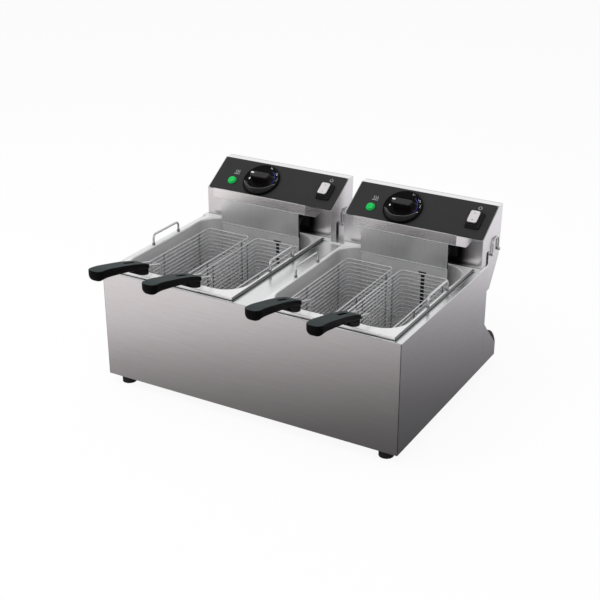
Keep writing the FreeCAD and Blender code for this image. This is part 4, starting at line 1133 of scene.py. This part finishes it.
def makeScrews(name, spots, normal, body):
    turn = normal.to_track_quat("Z", "Y").to_matrix().to_4x4()
    points = bpy.data.meshes.new(name)
    points.from_pydata([tuple(turn.inverted() @ spot) for spot in spots], [], [])
    holder = grown(newObject(name, points), screws, screwSockets, scaled(screwShape), "wire")
    seat(moved(holder, turn), "wire", body, ())


baseSpots = []
inset = screwSpots.inset * mm
for step in range(screwSpots.count):
    across = casingLow.x + (casingHigh.x - casingLow.x) * (step + 0.5) / screwSpots.count
    baseSpots += [Vector((across, y, casingLow.z)) for y in (casingLow.y + inset, casingHigh.y - inset)]
makeScrews("screws_base", baseSpots, Vector((0.0, 0.0, -1.0)), "casing")
print("screws set")


# stage, light and camera

view = Settings(azimuth=29.79, elevation=24.57, distance=2221.9, lens=74.15, target=(-36.2, 75.4, 97.7))
stageTone = Settings(half=6.0, floor=0.86, way=(0.6, 0.8, 0.0), across=0.08, beyondRate=0.85, nearRate=-1.0,
                     white=0.92)
floorStops = ((0.0, 0.08), (0.15, 0.13), (0.3, 0.245), (0.45, 0.42), (0.6, 0.72), (0.75, 0.92), (0.9, 1.0))
roomStops = ((0.0, 0.8), (0.25, 0.92), (0.5, 0.9), (0.75, 0.4), (1.0, 0.3))


def rayKind(graph, name):
    return graph.shade("LightPath", output=f"Is {name} Ray")


def ramp(graph, stops, place):
    return graph.shade("ValToRGB", {0: place}, {"stops": [(stop, grey(tone)) for stop, tone in stops]})


def makeStage():
    half = stageTone.half
    corners = [(-half, -half, 0), (half, -half, 0), (half, half, 0), (-half, half, 0)]
    floor = newObject("floor", meshFrom("floor", corners, [(0, 1, 2, 3)]))
    material = bpy.data.materials.new("floorPale")
    material.use_nodes = True
    nodes = material.node_tree.nodes
    graph = Graph(material.node_tree)
    nodes.remove(nodes["Principled BSDF"])
    place = graph.shade("TexCoord", output="Object")
    along = graph.shade("VectorMath", {0: place, 1: stageTone.way}, {"operation": "DOT_PRODUCT"}, "Value")
    # steel mirrors a floor that is dark along one diagonal and pale away from it
    beyond = along - stageTone.across
    away = graph.maths("MAXIMUM", beyond * stageTone.beyondRate, beyond * stageTone.nearRate)
    tint = graph.mixColour(beyond > 0.0, (1.0, 0.965, 0.97, 1), (0.97, 0.965, 1.0, 1))
    tone = graph.mixColour(1.0, ramp(graph, floorStops, away), tint, "MULTIPLY")
    matt = graph.shade("BsdfDiffuse", {"Color": grey(stageTone.floor)})
    white = graph.shade("Emission", {"Color": grey(1.0), "Strength": 1.0})
    mirrored = graph.shade("Emission", {"Color": tone, "Strength": 1.0})
    # the camera sees white, with the object's shadow faintly in it
    whiteness = rayKind(graph, "Camera") * stageTone.white
    seen = graph.shade("MixShader", {0: whiteness, 1: matt, 2: white})
    whole = graph.shade("MixShader", {0: rayKind(graph, "Glossy"), 1: seen, 2: mirrored})
    graph.tree.links.new(whole.socket, nodes["Material Output"].inputs["Surface"])
    floor.data.materials.append(material)


def makeWorld():
    world = bpy.data.worlds.new("softRoom")
    scene.world = world
    world.use_nodes = True
    graph = Graph(world.node_tree)
    background = world.node_tree.nodes["Background"]
    height = graph.axis(graph.shade("TexCoord", output="Generated"), 2)
    tone = graph.mixColour(rayKind(graph, "Camera"), ramp(graph, roomStops, height), grey(1.0))
    world.node_tree.links.new(tone.socket, background.inputs["Color"])
    background.inputs["Strength"].default_value = 1.0


def aimed(name, data, place, turn):
    made = newObject(name, data)
    return adjusted(made, location=place, rotation_mode="QUATERNION", rotation_quaternion=turn)


def areaLight(name, place, aim, size, power, colour=(1.0, 1.0, 1.0)):
    lamp = adjusted(bpy.data.lights.new(name, "AREA"), shape="RECTANGLE", size=size[0], size_y=size[1],
                    energy=power, color=colour)
    made = aimed(name, lamp, place, (Vector(aim) - Vector(place)).to_track_quat("-Z", "Y"))
    made.visible_glossy = False  # steel mirrors the room and the floor, not the lamp itself


def makeCamera():
    azimuth, elevation = math.radians(view.azimuth), math.radians(view.elevation)
    level = math.cos(elevation)
    back = Vector((math.sin(azimuth) * level, -math.cos(azimuth) * level, math.sin(elevation)))
    camera = adjusted(bpy.data.cameras.new("camera"), lens=view.lens, sensor_width=36.0)
    place = casingMid + Vector(view.target) * mm + back * view.distance * mm
    scene.camera = aimed("camera", camera, place, back.to_track_quat("Z", "Y"))


makeStage()
makeWorld()
areaLight("overhead", (-0.3, -0.4, 2.2), (0, 0, 0.15), (2.4, 2.0), 36.0)
areaLight("leftFill", (-2.2, -1.6, 1.2), (0, 0, 0.15), (1.6, 1.4), 12.0, (1.0, 0.96, 0.95))
makeCamera()
scene.view_settings.view_transform = "Standard"
print("stage, light and camera set")
